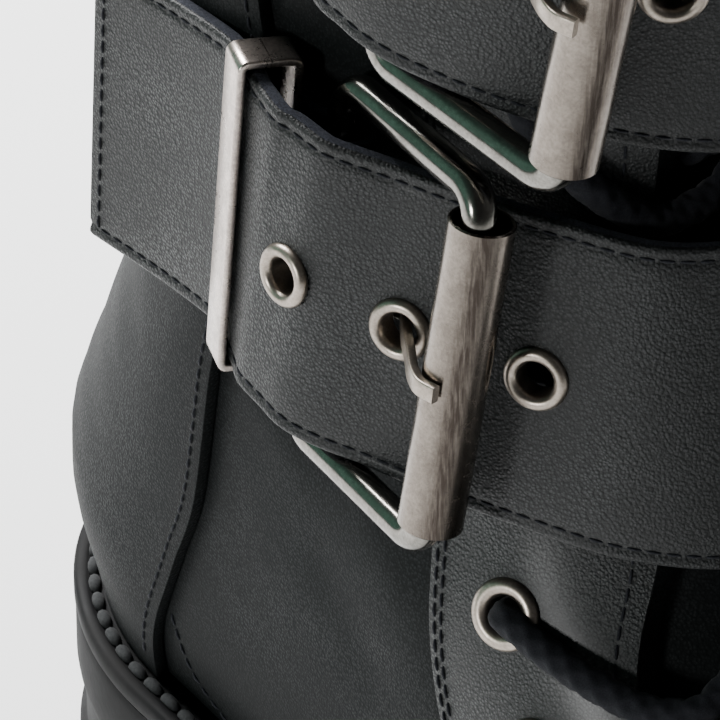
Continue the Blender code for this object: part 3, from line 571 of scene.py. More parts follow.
def makeUpper():
    rows, columns, wall = upperPiece["rows"], upperPiece["columns"], lastShape["wall"]
    u = np.linspace(0, 2 * math.pi, columns, endpoint=False)
    h = np.linspace(lastShape["gap"], lastShape["collar"], rows)
    outside = leatherAt(u[None, :], h[:, None], 0.0)
    inside = leatherAt(u[None, :], h[:, None], -wall)
    ridge = outside[::-1, columns // 2]
    under = np.interp(inside[..., 0], ridge[:, 0], ridge[:, 2]) - wall   # the lining stays under the toe
    toe = inside[..., 0] > upperPiece["toeFrom"]
    inside[..., 2] = np.where(toe, np.minimum(inside[..., 2], under), inside[..., 2])
    lined = rows * columns   # the lining's first point
    faces = gridFaces(rows, columns, ringed=True)
    faces += gridFaces(rows, columns, ringed=True, first=lined, flip=True)
    kinds = [0] * ((rows - 1) * columns) + [1] * ((rows - 1) * columns)
    for row, flip in ((0, True), (rows - 1, False)):
        near, far = row * columns, lined + row * columns
        for c in range(columns):
            d = (c + 1) % columns
            face = (near + c, near + d, far + d, far + c)
            faces.append(face[::-1] if flip else face)
            kinds.append(2)
    points = np.concatenate((outside.reshape(-1, 3), inside.reshape(-1, 3)))
    piece = meshPiece("upperShell", points, faces, kinds)
    throat = smoothLine(panelEdges["throat"], 2.0).tolist() + [upperPiece["throatTop"]]
    cutAway(piece, sideCutter("throatCutter", throat))
    for side in (lateral, medial):
        cutAway(piece, laceHoles(side))
    dress(piece, (upperLeather, lining, rawEdge), ("upper",), sharp=50)


def edgeTable(name):   # h and u along an edge on the outer side, by rising h
    line = smoothLine(panelEdges[name], 1.5)
    u, h = roundAt(line[:, 0], line[:, 1], lateral)
    order = np.argsort(h)
    return h[order], u[order]


def panelSheet(name, points, thick, finishes, replaced, rounded=0.3, cutters=()):
    rows, columns = points.shape[:2]
    piece = meshPiece(name, points, gridFaces(rows, columns))
    applyModifier(piece, "SOLIDIFY", thickness=thick * mm, offset=-1.0,
                  material_offset=0, material_offset_rim=1)
    for cutter in cutters:
        cutAway(piece, cutter)
    applyModifier(piece, "BEVEL", width=rounded * mm, segments=2, limit_method="ANGLE",
                  angle_limit=math.radians(50))
    return dress(piece, finishes, replaced, sharp=60)


counterPiece = {"rows": 130, "columns": 120, "inset": 0.5, "thick": 1.8}
eyestayPiece = {"rows": 170, "columns": 22, "top": 237.4}
tonguePiece = {"rows": 100, "columns": 44, "low": 46.0, "high": 206.0, "under": 2.75, "thick": 2.5,
               "round": 0.7}
counterTop = lastShape["gap"] + counterPiece["thick"]


def makeCounter():
    inset = counterPiece["inset"]
    h = np.linspace(lastShape["gap"] + inset, lastShape["collar"] - inset, counterPiece["rows"])
    edge = np.interp(h, *edgeTable("counter"))
    share = np.linspace(-1, 1, counterPiece["columns"])
    points = leatherAt(edge[:, None] * share[None, :], h[:, None], counterTop)
    panelSheet("heelCounter", points, counterPiece["thick"], (upperLeather, rawEdge),
               ("heel_counter",))


def makeEyestays():
    def upTo(line, top):
        line = line[line[:, 1] <= top]
        length = np.linalg.norm(np.diff(line, axis=0), axis=1).sum()
        return smoothLine(line, length / eyestayPiece["rows"])[::-1]
    rear = upTo(smoothLine(panelEdges["eyestay"], 1.0), eyestayPiece["top"])
    throat = upTo(smoothLine(panelEdges["throat"], 1.0), eyestayPiece["top"])
    rows = min(len(rear), len(throat))
    share = (1 - np.cos(np.linspace(0, math.pi, eyestayPiece["columns"]))) / 2
    flat = rear[:rows, None, :] + (throat[:rows] - rear[:rows])[:, None, :] * share[None, :, None]
    for side, label in ((lateral, "Lateral"), (medial, "Medial")):
        points = onSide(flat[..., 0], flat[..., 1], side, overlayTop)
        if side == medial:
            points = points[:, ::-1]
        panelSheet("eyestay" + label, points, lastShape["overlay"], (facingLeather, rawEdge),
                   ("eyestay_" + label.lower(),), cutters=(laceHoles(side),))


def makeTongue():
    h = np.linspace(tonguePiece["low"], tonguePiece["high"], tonguePiece["rows"])
    edge = np.interp(h, *edgeTable("tongue"))
    share = np.linspace(-1, 1, tonguePiece["columns"])
    u = math.pi + (math.pi - edge)[:, None] * share[None, :]
    points = leatherAt(u, h[:, None], -tonguePiece["under"])
    panelSheet("tonguePanel", points, tonguePiece["thick"], (upperLeather, rawEdge),
               ("tongue",), tonguePiece["round"])


makeUpper()
makeCounter()
makeEyestays()
makeTongue()
print("upper and panels made")

# Sole
solePiece = {
    "around": 260, "welt": 3.5, "insole": 3.0, "insoleRoom": 1.5, "insoleRound": (0.4, 0.6),
    "lugDepth": 5.0, "lugSlot": 4.0, "lugReach": 26.0, "lugOut": 90.0, "heelEnd": 72, "heelLugs": 0.6,
    "bottom": ((0, 0), (69, 0), (72, 0), (77, 15), (100, 14), (125, 9), (150, 2), (160, 0), (222, 0),
               (240, 2.5), (258, 7.5), (276, 15)),   # x, height of the tread
    "side": (  # share of the height, reach from the upper
        (0.0, 3.6), (0.03, 4.6), (0.26, 6.1), (0.29, 6.2), (0.32, 6.0), (0.36, 5.2), (0.40, 5.1), (0.6, 5.3),
        (0.64, 5.5), (0.69, 6.2), (0.73, 6.4), (0.97, 6.4), (1.0, 6.0)),
    "lugs": (20, 37, 54, 166, 178, 190, 202, 214),
    "weltSection": (  # reach from the upper, height over the feather line
        (-3.0, -3.5), (5.6, -3.5), (6.3, -3.2), (6.6, -2.6), (6.6, -0.8), (6.3, -0.2), (5.7, 0.0),
        (4.9, 0.05), (4.5, -0.15), (4.1, -0.5), (2.9, -0.5), (2.5, -0.15), (2.0, 0.0), (1.4, -0.3),
        (0.9, -1.0), (-3.0, -1.0)),
}


def featherAt(u, out):
    step = 0.02
    along = lastPoint(u + step, 0.0) - lastPoint(u - step, 0.0)
    normal = np.stack((along[:, 1], -along[:, 0]), -1)
    normal /= np.linalg.norm(normal, axis=1, keepdims=True)
    return lastPoint(u, 0.0)[:, :2] + out * normal


def soleRing(u, out, height):
    return np.column_stack((featherAt(u, out), height))


def stackRings(name, rings, closeEnds):
    count = len(rings[0])
    faces = gridFaces(len(rings), count, ringed=True, looped=not closeEnds)
    if closeEnds:
        for first, flip in ((0, True), ((len(rings) - 1) * count, False)):
            for k in range(count // 2):
                corners = (k, k + 1, (count - k - 1) % count, (count - k) % count)
                corners = tuple(dict.fromkeys(first + c for c in corners))
                faces.append(corners[::-1] if flip else corners)
    piece = meshPiece(name, np.concatenate(rings), faces)
    cleanUp(piece)
    return piece


def makeSole():
    u = np.linspace(0, 2 * math.pi, solePiece["around"], endpoint=False)
    x = lastPoint(u, 0.0)[:, 0]
    edge = curveAt(lastShape["lift"], 1, x)
    tread = curveAt(solePiece["bottom"], 1, x)
    top = edge - solePiece["welt"] - lastShape["gap"]
    outsole = stackRings("outsoleRubber", [soleRing(u, out, tread + (top - tread) * share)
                                           for share, out in solePiece["side"]], True)
    points, faces = [], []
    half, beyond = solePiece["lugSlot"] / 2, solePiece["lugOut"]
    for place in solePiece["lugs"]:
        low = float(curveAt(solePiece["bottom"], 1, place)) - solePiece["lugDepth"]
        inward = solePiece["lugReach"] * (solePiece["heelLugs"] if place < solePiece["heelEnd"] else 1.0)
        for side in (lateral, medial):
            near = side * (float(halfWidth(place, 0.0, side)) - inward)
            far = side * beyond
            faces += tubeFaces(2, 4, len(points))
            points += [(place + dx, y, z) for z in (low, low + 2 * solePiece["lugDepth"])
                       for dx, y in ((-half, near), (half, near), (half, far), (-half, far))]
    slots = meshPiece("lugCutter", points, faces)
    cleanUp(slots)
    cutAway(outsole, slots)
    dress(outsole, (soleRubber,), ("outsole",), sharp=35)
    rings = [soleRing(u, out, edge + rise) for out, rise in solePiece["weltSection"]]
    welt = stackRings("weltStrip", rings, False)
    dress(welt, (soleRubber,), ("welt",), sharp=50)
    inset = -lastShape["wall"] - solePiece["insoleRoom"]
    base, top = edge + lastShape["gap"], edge + lastShape["gap"] + solePiece["insole"]
    under, over = solePiece["insoleRound"]
    insole = stackRings("insoleBoard", [soleRing(u, inset - under, base), soleRing(u, inset, base + under),
                                        soleRing(u, inset, top - over), soleRing(u, inset - over, top)], True)
    dress(insole, (lining,), ("insole",), sharp=50)


makeSole()
print("sole made")

# Straps and buckles
strapPiece = {
    "wide": 42.0, "thick": 2.4, "step": 1.2, "ends": (0.35, 0.9), "endInset": 0.006, "round": 0.65,
    "seam": 1.75, "groove": 0.3, "grooveHalf": 0.5,
    "eyelets": (-16.6, 0.0, 18.2), "held": -10.3, "hole": 2.5, "holeDeep": 12.0,
    # the paths hold x and y of the outer face, its lean in degrees and its rise
    "lower": {"height": 136.0, "fall": 0.035, "rollerX": 110.5, "path": (
        (40, -41.6, 3, 1.4), (56, -41, 3, 2.0), (65, -41.4, 3, 2.6), (70.5, -43, 3.5, 2.9),
        (76, -45.2, 4, 2.8), (81, -46.4, 5, 2.4), (86.5, -46.4, 6, 1.9), (99.5, -41.5, 7, 0.7),
        (117.5, -33.6, 8.5, 0), (129.5, -27.2, 10, 0), (137, -17.5, 15, 0), (140, -5, 19, 0), (140, 5, 19, 0),
        (137, 17.5, 15, 0), (129, 27.5, 9, 0), (117, 33.5, 6, 0), (105, 36.4, 4, 0), (92, 38, 3, 0),
        (80, 37.8, 2, 0), (71, 37.2, 1, 0))},
    "upper": {"height": 194.5, "fall": 0.18, "rollerX": 124.5, "path": (
        (56, -44.2, -3, 1.0), (70, -43.8, -3, 1.5), (79, -43.7, -3, 1.8), (84.5, -45, -3, 1.8),
        (90, -47, -3, 1.6), (95, -47.8, -3, 1.3), (100.5, -47, -3, 0.9), (112, -42, -2, 0.1),
        (126, -31.9, 0, 0), (133, -23.5, 1, 0), (137.5, -13, 2, 0), (139, -4, 2, 0), (139, 4, 2, 0),
        (136, 17.5, 2, 0), (129, 28, 0, 0), (117, 35, -2, 0), (105, 38.6, -3, 0),
        (92, 40.4, -4, 0), (80, 41, -4, 0), (71, 41, -4, 0))},
}


class Band:   # a strap's outer face: places along it, each with its directions
    def __init__(self, path, height, fall, rollerX):
        rows = np.array(path, float)
        points = np.column_stack((rows[:, :2], height - fall * (rows[:, 0] - rollerX) + rows[:, 3]))
        reach = reachAlong(points)
        self.table = np.column_stack((reach, points, rows[:, 2]))
        self.length = reach[-1]
        outerSide = np.linspace(0, self.length / 2, 400)
        self.roller = float(np.interp(rollerX, curveAt(self.table, 1, outerSide), outerSide))

    def point(self, s):
        return np.array([float(curveAt(self.table, column, s)) for column in (1, 2, 3)])

    def axes(self, s):
        along = self.point(s + 0.5) - self.point(s - 0.5)
        along /= np.linalg.norm(along)
        out = np.array((along[1], -along[0], 0.0))
        out /= np.linalg.norm(out)
        lean = math.radians(float(curveAt(self.table, 4, s)))
        out = out * math.cos(lean) + np.cross(out, along) * math.sin(lean)
        return axesAt(self.point(s), along, out)


bands = {label: Band(**strapPiece[label]) for label in ("lower", "upper")}


def strapSection():   # across and out, with rounded edges and a shallow groove under each seam
    half, thick, r = strapPiece["wide"] / 2, strapPiece["thick"], strapPiece["round"]
    seam = half - strapPiece["seam"]
    beside = np.array((-0.8, -0.4, 0, 0.4, 0.8))
    across = np.unique(np.concatenate((np.linspace(-half + r, half - r, 23), seam + beside, -seam + beside)))
    dip = strapPiece["groove"] * np.exp(-((np.abs(across) - seam) / strapPiece["grooveHalf"]) ** 2)
    corner = np.radians((20, 45, 70))
    top = [(a, -d, 0) for a, d in zip(across, dip)]
    right = [(half - r + r * math.sin(t), -r + r * math.cos(t), 0) for t in corner] + [(half, -r, 1)]
    low = [(half, -thick + r * 0.5, 1), (half - r * 0.5, -thick, 0)]
    bottom = [(a, -thick, 0) for a in (half / 2, 0, -half / 2)]
    left = [(-half + r * 0.5, -thick, 1), (-half, -thick + r * 0.5, 1), (-half, -r, 0)]
    left += [(-half + r - r * math.sin(t), -r + r * math.cos(t), 0) for t in corner[::-1]]
    return top + right + low + bottom + left


def makeStrap(label):
    band = bands[label]
    section = strapSection()
    near, inside = strapPiece["ends"]
    between = np.linspace(inside, band.length - inside, int(band.length / strapPiece["step"]))
    s = np.concatenate(([0.0, near], between, [band.length - near, band.length]))
    strap = sweep("strap" + label.title(), [band.axes(v) for v in s], [row[:2] for row in section],
                  [row[2] for row in section], capInset=strapPiece["endInset"])
    held = band.roller + strapPiece["held"]
    seats = [band.axes(held + step) for step in strapPiece["eyelets"]]
    cutAway(strap, holeCutter("holeCutter", seats, strapPiece["hole"], strapPiece["holeDeep"]))
    dress(strap, (strapLeather, rawEdge), ("strap_" + label,), sharp=45)
    return seats


def ringByExtrude(name, profile, count):   # a circle drawn out into a turned ring, then closed
    bpy.ops.object.select_all(action="DESELECT")
    radius, height = profile[0]
    bpy.ops.mesh.primitive_circle_add(vertices=count, radius=radius * mm, location=(0, 0, 0))
    piece = bpy.context.active_object
    piece.name = name
    bpy.ops.object.mode_set(mode="EDIT")
    bpy.ops.mesh.select_all(action="SELECT")
    bpy.ops.transform.translate(value=(0, 0, height * mm))
    for wide, high in profile[1:] + profile[:1]:
        bpy.ops.mesh.extrude_edges_move(TRANSFORM_OT_translate={"value": (0, 0, (high - height) * mm)})
        bpy.ops.transform.resize(value=(wide / radius, wide / radius, 1), center_override=(0, 0, 0))
        radius, height = wide, high
    bpy.ops.object.mode_set(mode="OBJECT")
    cleanUp(piece)
    return piece


def setDown(piece, matrix):   # brings a piece made at the origin to its place, in its mesh
    matrix = matrix.copy()
    matrix.translation = Vector(toWorld(np.array(matrix.translation))[0])
    piece.data.transform(matrix)


eyeletPiece = {
    "around": 48, "wall": 0.35, "lip": (0.1, -0.2),
    "strap": {"hole": 2.3, "flange": 4.2, "rise": 1.05, "deep": 2.6},
    "lace": {"hole": 2.45, "flange": 4.8, "rise": 1.1, "deep": 3.2},
}


def makeEyelet(name, kind, matrix, node):
    size = eyeletPiece[kind]
    middle, half = (size["hole"] + size["flange"]) / 2, (size["flange"] - size["hole"]) / 2
    crown = [(middle - half * math.cos(t), size["rise"] * math.sin(t)) for t in np.linspace(0, math.pi, 11)]
    barrel, (inset, lip) = size["hole"] + eyeletPiece["wall"], eyeletPiece["lip"]
    back = [(size["flange"] - inset, lip), (barrel, lip), (barrel, -size["deep"])]
    piece = ringByExtrude(name, [(size["hole"], -size["deep"])] + crown + back, eyeletPiece["around"])
    setDown(piece, matrix)
    dress(piece, (eyeletNickel,), (node,), sharp=50)


buckle = {
    "wire": 2.2, "wireAround": 24, "heelBar": -28.0, "under": 7.3, "low": -23.2, "high": 25.8, "bend": 4.0,
    "bendPoints": 12,
    "rollerR": 4.1, "rollerBore": 3.55, "rollerLong": 42.4, "rollerOut": 7.5, "rollerLow": -20.4,
    "rollerSoft": 0.18, "rollerAround": 64, "slack": (0.05, -1.0), "askew": 0.026,
    "paintedReflection": (30, 24, 1.8),   # degrees from outwards, spread, strength of the painted dark reflection down the roller
    "prongWide": 2.2, "prongThick": 1.2, "prongSoft": 0.25, "prongEye": (-200, 75, 22),
    "prongThrough": (   # along, outwards and across, from the eyelet
        (-1.8, -4.4, 0), (-0.2, -1.8, 0), (1.0, 0.4, 0), (3.7, 4.8, 0.1), (6.4, 9.1, 0.2), (8.1, 10.8, 0.3),
        (10.4, 11.5, 0.4)),
    "chapeLow": -18.5, "chapeHigh": 19.0, "chapeThick": 1.6, "chapeSoft": 0.4, "chapeEdge": 0.3,
    "chapeWrap": 75,
    "chapeTail": ((26.0, 1.5), (18.0, 2.0), (11.0, 3.4), (7.0, 4.8)),   # distance behind the bar, height
    "slotWide": 4.4, "slotR": 5.2, "leastSlope": 0.95,
}
keeperPiece = {"wide": 5.8, "thick": 1.1, "deep": 8.5, "tall": 45.8, "over": 0.55, "place": -41.0,
               "turn": 2.5, "bend": 0.9, "bendPoints": 5, "joint": 0.12, "soft": 0.28}


def hook(centre, radius, start, end, count):
    return [(centre[0] + radius * math.cos(math.radians(a)), centre[1] + radius * math.sin(math.radians(a)))
            for a in np.linspace(start, end, count)]


def roundSection(radius, count):
    a = np.linspace(0, 2 * math.pi, count, endpoint=False)
    return [(radius * math.cos(t), radius * math.sin(t)) for t in a]


def flatSection(wide, thick, r):   # across and out, with rounded corners
    a, b = wide / 2 - r, thick / 2 - r
    turn = np.radians((0, 30, 60, 90))
    corners = ((a, b, 0), (-a, b, 90), (-a, -b, 180), (a, -b, 270))
    return [(x + r * math.cos(t + math.radians(start)), y + r * math.sin(t + math.radians(start)))
            for x, y, start in corners for t in turn]


def alongLine(points, across):   # places along a line, with a fixed direction across
    along = np.gradient(points, axis=0)
    return [axesAt(p, d, np.cross(d, across)) for p, d in zip(points, along)]


class BuckleSeat:   # a buckle's place on its strap, and its heel bar in the roller's own directions
    def __init__(self, label):
        self.label, self.band = label, bands[label]
        self.place = self.band.axes(self.band.roller)
        self.back = self.place.inverted()
        self.along, self.across = np.array(self.place)[:3, 0], np.array(self.place)[:3, 1]
        self.bar = self.flat(self.band.axes(self.band.roller + buckle["heelBar"]), -buckle["under"])

    def flat(self, matrix, out=0.0, along=0.0):   # along and out of a spot that is given from another place
        spot = self.back @ (matrix @ Vector((along, 0, out)))
        return np.array((spot.x, spot.z))

    def at(self, along, out, across=0.0):
        return self.place @ Vector((along, across, out))


def makeFrame(seat):
    bend = buckle["bend"]
    axle = np.array((0.0, buckle["rollerOut"]))
    reach = np.linalg.norm(axle - seat.bar)
    rise = (axle - seat.bar) / reach
    loop = []
    for far, side, start in ((0, buckle["low"], 180), (reach, buckle["low"], 270), (reach, buckle["high"], 0),
                             (0, buckle["high"], 90)):
        middle = (abs(far - bend), side + (bend if side < 0 else -bend))
        for f, c in hook(middle, bend, start, start + 90, buckle["bendPoints"]):
            loop.append(seat.at(*(seat.bar + rise * f), c))
    loop = np.array(loop)
    flatOut = np.cross(loop[0] - loop[4], loop[8] - loop[4])
    ahead = np.roll(loop, -1, axis=0) - np.roll(loop, 1, axis=0)
    matrices = [axesAt(p, d, flatOut) for p, d in zip(loop, ahead)]
    section = roundSection(buckle["wire"], buckle["wireAround"])
    wire = sweep("buckleFrame" + seat.label.title(), matrices, section, closed=True)
    dress(wire, (frameNickel,), ("buckle_frame_" + seat.label,), sharp=60)


def makeRoller(seat):
    low, top = buckle["rollerLow"], buckle["rollerLow"] + buckle["rollerLong"]
    bore, wide, soft = buckle["rollerBore"], buckle["rollerR"], buckle["rollerSoft"]
    roller = ringByExtrude("roller" + seat.label.title(), [
        (bore, low + soft), (bore + soft, low), (wide - soft, low), (wide, low + soft), (wide, top - soft),
        (wide - soft, top), (bore + soft, top), (bore, top - soft)], buckle["rollerAround"])
    spots = np.array([v.co for v in roller.data.vertices])
    # a painted dark reflection: the roller is darker in a band along its length, at a set turn from outwards
    middle, spread, most = buckle["paintedReflection"]
    turned = np.degrees(np.arctan2(spots[:, 0], -spots[:, 1]))
    paintedReflection = roller.data.attributes.new("paintedReflection", "FLOAT", "POINT")
    paintedReflection.data.foreach_set("value", most * np.exp(-((turned - middle) / spread) ** 2))
    centre = seat.at(buckle["slack"][0], buckle["rollerOut"] + buckle["slack"][1])
    setDown(roller, axesAt(centre, seat.along, seat.across - seat.along * buckle["askew"]))
    dress(roller, (rollerNickel,), ("roller_" + seat.label,), sharp=40)


def makeProng(seat):
    thick = buckle["prongThick"]
    held = seat.band.axes(seat.band.roller + strapPiece["held"])
    eye = hook(seat.bar, buckle["wire"] + lastShape["gap"] + thick / 2, *buckle["prongEye"])
    line = [(a, b, 0) for a, b in eye]
    line += [(*seat.flat(held, out, along), aside) for along, out, aside in buckle["prongThrough"]]
    path = np.array([seat.at(*spot) for spot in smoothLine(line, 0.5)])
    section = flatSection(buckle["prongWide"], thick, buckle["prongSoft"])
    prong = sweep("prong" + seat.label.title(), alongLine(path, seat.across), section)
    dress(prong, (eyeletNickel,), ("prong_" + seat.label,), sharp=50)


def makeChape(seat):   # goes round the heel bar and back between the strap and the boot
    low, high, thick = buckle["chapeLow"], buckle["chapeHigh"], buckle["chapeThick"]
    eye = buckle["wire"] + lastShape["gap"] + thick / 2
    middle = seat.at(*seat.bar)
    tail = []
    for behind, over in buckle["chapeTail"]:
        spot = seat.back @ Vector(onSide(middle.x - behind, middle.z, lateral, over))
        tail.append((spot.x, spot.z))
    toBar = np.array(tail[-1]) - seat.bar
    slope = math.acos(min(buckle["leastSlope"], eye / np.linalg.norm(toBar)))
    touch = math.degrees(math.atan2(toBar[1], toBar[0]) + slope)
    line = smoothLine(tail + hook(seat.bar, eye, touch, buckle["chapeWrap"], 12), 0.8)
    path = np.array([seat.at(*spot) for spot in line]) + seat.across * (high + low) / 2
    section = flatSection(high - low, thick, buckle["chapeSoft"])
    ends = [1 if abs(a) > (high - low) / 2 - buckle["chapeEdge"] else 0 for a, _ in section]
    chape = sweep("chape" + seat.label.title(), alongLine(path, seat.across), section, ends)
    slotPlace = axesAt(middle, seat.along, seat.across)
    cutAway(chape, holeCutter("slotCutter", [slotPlace], buckle["slotR"], buckle["slotWide"]))
    dress(chape, (strapLeather, rawEdge), ("chape_" + seat.label,), sharp=50)


def makeKeeper(label):
    band = bands[label]
    turn = Matrix.Rotation(math.radians(keeperPiece["turn"]), 4, "Z")
    hold = band.axes(band.roller + keeperPiece["place"]) @ turn
    thick, bend = keeperPiece["thick"], keeperPiece["bend"]
    half = keeperPiece["tall"] / 2 - thick / 2
    high = keeperPiece["over"] + thick / 2
    low = keeperPiece["over"] - keeperPiece["deep"] + 1.5 * thick
    joint = (high + low) / 2                      # the strip's ends meet on the upper short side
    line = [(half, joint + keeperPiece["joint"] / 2)]
    for c, b, start in ((half, high, 0), (-half, high, 90), (-half, low, 180), (half, low, 270)):
        middle = (c - math.copysign(bend, c), b - bend if b == high else b + bend)
        line += hook(middle, bend, start, start + 90, keeperPiece["bendPoints"])
    line.append((half, joint - keeperPiece["joint"] / 2))
    loop = np.array([hold @ Vector((0, c, b)) for c, b in line])
    section = flatSection(keeperPiece["wide"], thick, keeperPiece["soft"])
    piece = sweep("keeper" + label.title(), alongLine(loop, np.array(hold)[:3, 0]), section)
    dress(piece, (keeperNickel,), ("keeper_" + label,), sharp=50)


for label in ("lower", "upper"):
    for number, seat in enumerate(makeStrap(label), 1):
        makeEyelet(f"strapEyelet{label.title()}{number}", "strap", seat, f"strap_eyelet_{label}_{number}")
    buckleSeat = BuckleSeat(label)
    for makePiece in (makeFrame, makeRoller, makeProng, makeChape):
        makePiece(buckleSeat)
    makeKeeper(label)
for side, label in ((lateral, "lateral"), (medial, "medial")):
    for number, seat in enumerate(eyeletSeats[side], 1):
        makeEyelet(f"laceEyelet{label.title()}{number}", "lace", seat, f"lace_eyelet_{label}_{number}")
print("straps, buckles and eyelets made")

# Lace
lacePiece = {
    "radius": 2.1, "around": 20, "step": 0.45, "braid": 0.11, "strands": 4, "twist": 3.4, "rise": 0.4,
    "barOver": 0.3,
    "sag": (0.0, 0.45, 1.15, 0.6, 0.5, 0.3, 0.4, 0.4),   # fall of each pair towards the next lower eyelets
    "leaves": ((0.0, -4.0), (0.0, -1.0), (0.4, 1.0)),   # along and out of an eyelet
    "over": ((0.08, 3.2), (0.18, 3.9), (0.35, 3.9), (0.52, 3.3), (0.72, 0.9)),   # share to the ridge, height
    "cross": -0.4, "stack": 3.4, "under": ((0.86, -0.9), (0.74, -1.8), (0.62, -3.2)),
}


def laceSide(pair, ridge, side, line, sag=0.0):
    x, z, _ = laceEyelets[pair]
    nextX, nextZ, _ = laceEyelets[max(pair - 1, 0)]
    found = []
    for share, over in line:
        near = 1 - (1 - share) ** 2
        fall = sag * math.sin(math.pi * share)
        found.append(onSide(x + (ridge[0] - x) * near + (nextX - x) * fall,
                            z + (ridge[2] - z) * near + (nextZ - z) * fall, side, over))
    return found


def throughEyelet(pair, side):   # the lace leaves its eyelet over the rim
    seat = eyeletSeats[side][pair]
    return [np.array(seat @ Vector((ahead, 0, out))) for ahead, out in lacePiece["leaves"]]


def braidedTube(name, points):
    line = smoothLine(points, lacePiece["step"])
    along = np.gradient(line, axis=0)
    a = np.linspace(0, 2 * math.pi, lacePiece["around"], endpoint=False)
    flat = np.cross(along[0], (0.3, 0.0, 1.0))
    rings = []
    reach = reachAlong(line)
    for point, direction, s in zip(line, along, reach):
        direction = direction / np.linalg.norm(direction)
        flat = flat - direction * np.dot(flat, direction)
        flat /= np.linalg.norm(flat)
        tall = np.cross(direction, flat)
        turn = 2 * math.pi * s / lacePiece["twist"]
        strands = np.maximum(np.cos(lacePiece["strands"] * a + turn), np.cos(lacePiece["strands"] * a - turn))
        r = lacePiece["radius"] * (1 - lacePiece["braid"] + lacePiece["braid"] * strands)
        rings.append(point + (r * np.cos(a))[:, None] * flat + (r * np.sin(a))[:, None] * tall)
    piece = meshPiece(name, np.concatenate(rings), tubeFaces(len(rings), len(a)))
    cleanUp(piece)
    return piece


def makeLace():
    heights = [h for _, _, h in laceEyelets]
    ridge = lastPoint(math.pi, heights[0])
    middle = leatherAt(np.array(math.pi), np.array(heights[0]), lacePiece["barOver"])
    sides = [throughEyelet(0, side) + laceSide(0, ridge, side, lacePiece["over"])
             for side in (lateral, medial)]
    strands = [braidedTube("lace", sides[0] + [middle] + sides[1][::-1])]
    for pair in range(1, len(laceEyelets)):
        height = heights[pair - 1] + lacePiece["rise"] * (heights[pair] - heights[pair - 1])
        ridge = lastPoint(math.pi, height)
        for side, over in ((lateral, lacePiece["cross"]), (medial, lacePiece["cross"] + lacePiece["stack"])):
            middle = leatherAt(np.array(math.pi), np.array(height), over)
            path = throughEyelet(pair, side)
            path += laceSide(pair, ridge, side, lacePiece["over"], lacePiece["sag"][pair])
            path += [middle] + laceSide(pair - 1, ridge, -side, lacePiece["under"])
            strands.append(braidedTube("lace", path))
    lace = joinPieces("braidedLace", strands)
    crossings = [f"lace_crossing_{n}" for n in range(1, len(laceEyelets))]
    dress(lace, (laceCord,), ["lace_bar"] + crossings, sharp=80)


makeLace()
print("lace made")

# Stitches
stitch = {  # stations hold the share of a stitch's length, of its radius, and the height there
    "long": 2.2, "pitch": 2.42, "radius": 0.22, "sides": 6, "rise": 0.05,
    "stations": ((-0.5, 0.3, -0.30), (-0.36, 0.85, -0.02), (0.0, 1.0, 0.12), (0.36, 0.85, -0.02),
                 (0.5, 0.3, -0.30)),
}
weltStitch = {
    "long": 3.7, "pitch": 4.2, "radius": 0.95, "sides": 8,
    "stations": ((-0.5, 0.35, -0.45), (-0.4, 0.8, -0.1), (-0.15, 1.0, 0.1), (0.15, 1.0, 0.1),
                 (0.4, 0.8, -0.1), (0.5, 0.35, -0.45)),
}
seamPlaces = {
    "counter": (44, (-2.2,)), "eyestay": (60, (0.9, 2.0)), "throat": (80, (-2.2,)),   # lowest z, distances
    "high": 236, "collarDown": 3.0, "collarEnds": (0.02, 0.08), "collarPoints": 160,
    "foot": ((46.5, 54), (51.2, 45.5), (58.5, 41.5), (68, 38.6)),   # a short row by the counter's foot
    "strapStep": 1.0, "endPoints": 40, "endRise": 0.02, "weltOut": 3.5, "weltSink": 0.1, "weltPoints": 700,
}


def sewRow(line, normals, kind):   # stitches along a row of places
    reach = reachAlong(line)
    count = max(1, int(round(reach[-1] / kind["pitch"])))
    a = np.linspace(0, 2 * math.pi, kind["sides"], endpoint=False)
    rings = []
    for share, wide, lift in kind["stations"]:
        r, along = wide * kind["radius"], np.full(len(a), share * kind["long"])
        rings.append(np.column_stack((along, r * np.cos(a), lift + r * np.sin(a))))
    shape = np.concatenate(rings)

    def readAt(table, s):
        return np.array([np.interp(s, reach, table[:, k]) for k in range(3)])

    points, faces = [], []
    for number in range(count):
        at = (number + 0.5) * reach[-1] / count
        ahead = readAt(line, at + 0.5) - readAt(line, at - 0.5)
        points.append(placed(axesAt(readAt(line, at), ahead, readAt(normals, at)), shape))
        faces += tubeFaces(len(rings), len(a), number * len(shape))
    return np.concatenate(points), faces


def sewPiece(name, rows, kind, finish):
    points, faces = [], []
    for line, normals in rows:
        made, madeFaces = sewRow(line, normals, kind)
        first = sum(len(p) for p in points)
        points.append(made)
        faces += [tuple(first + k for k in face) for face in madeFaces]
    piece = meshPiece(name, np.concatenate(points), faces)
    cleanUp(piece)
    dress(piece, (finish,), (), sharp=70)


def seamOnSide(edge, away, side, off, low=None, high=None):
    line = smoothLine(edge, 1.0)
    if low is not None:
        line = line[(line[:, 1] >= low) & (line[:, 1] <= high)]
    line = besideLine(line, away)
    return onSide(line[:, 0], line[:, 1], side, off), normalOnSide(line[:, 0], line[:, 1], side)


def collarSeam(side):
    h = lastShape["collar"] - seamPlaces["collarDown"]
    edges = ("counter", "eyestay", "throat")
    behind, front, throat = (float(np.interp(h, *edgeTable(name))) for name in edges)
    start, short = seamPlaces["collarEnds"]
    u = np.linspace(start, throat - short, seamPlaces["collarPoints"])
    off = np.where(u < behind, counterTop, np.where(u > front, overlayTop, 0.0)) + stitch["rise"]
    u, h = (u if side == lateral else -u), np.full(len(u), h)
    return leatherAt(u, h, off), lastNormal(u, h)


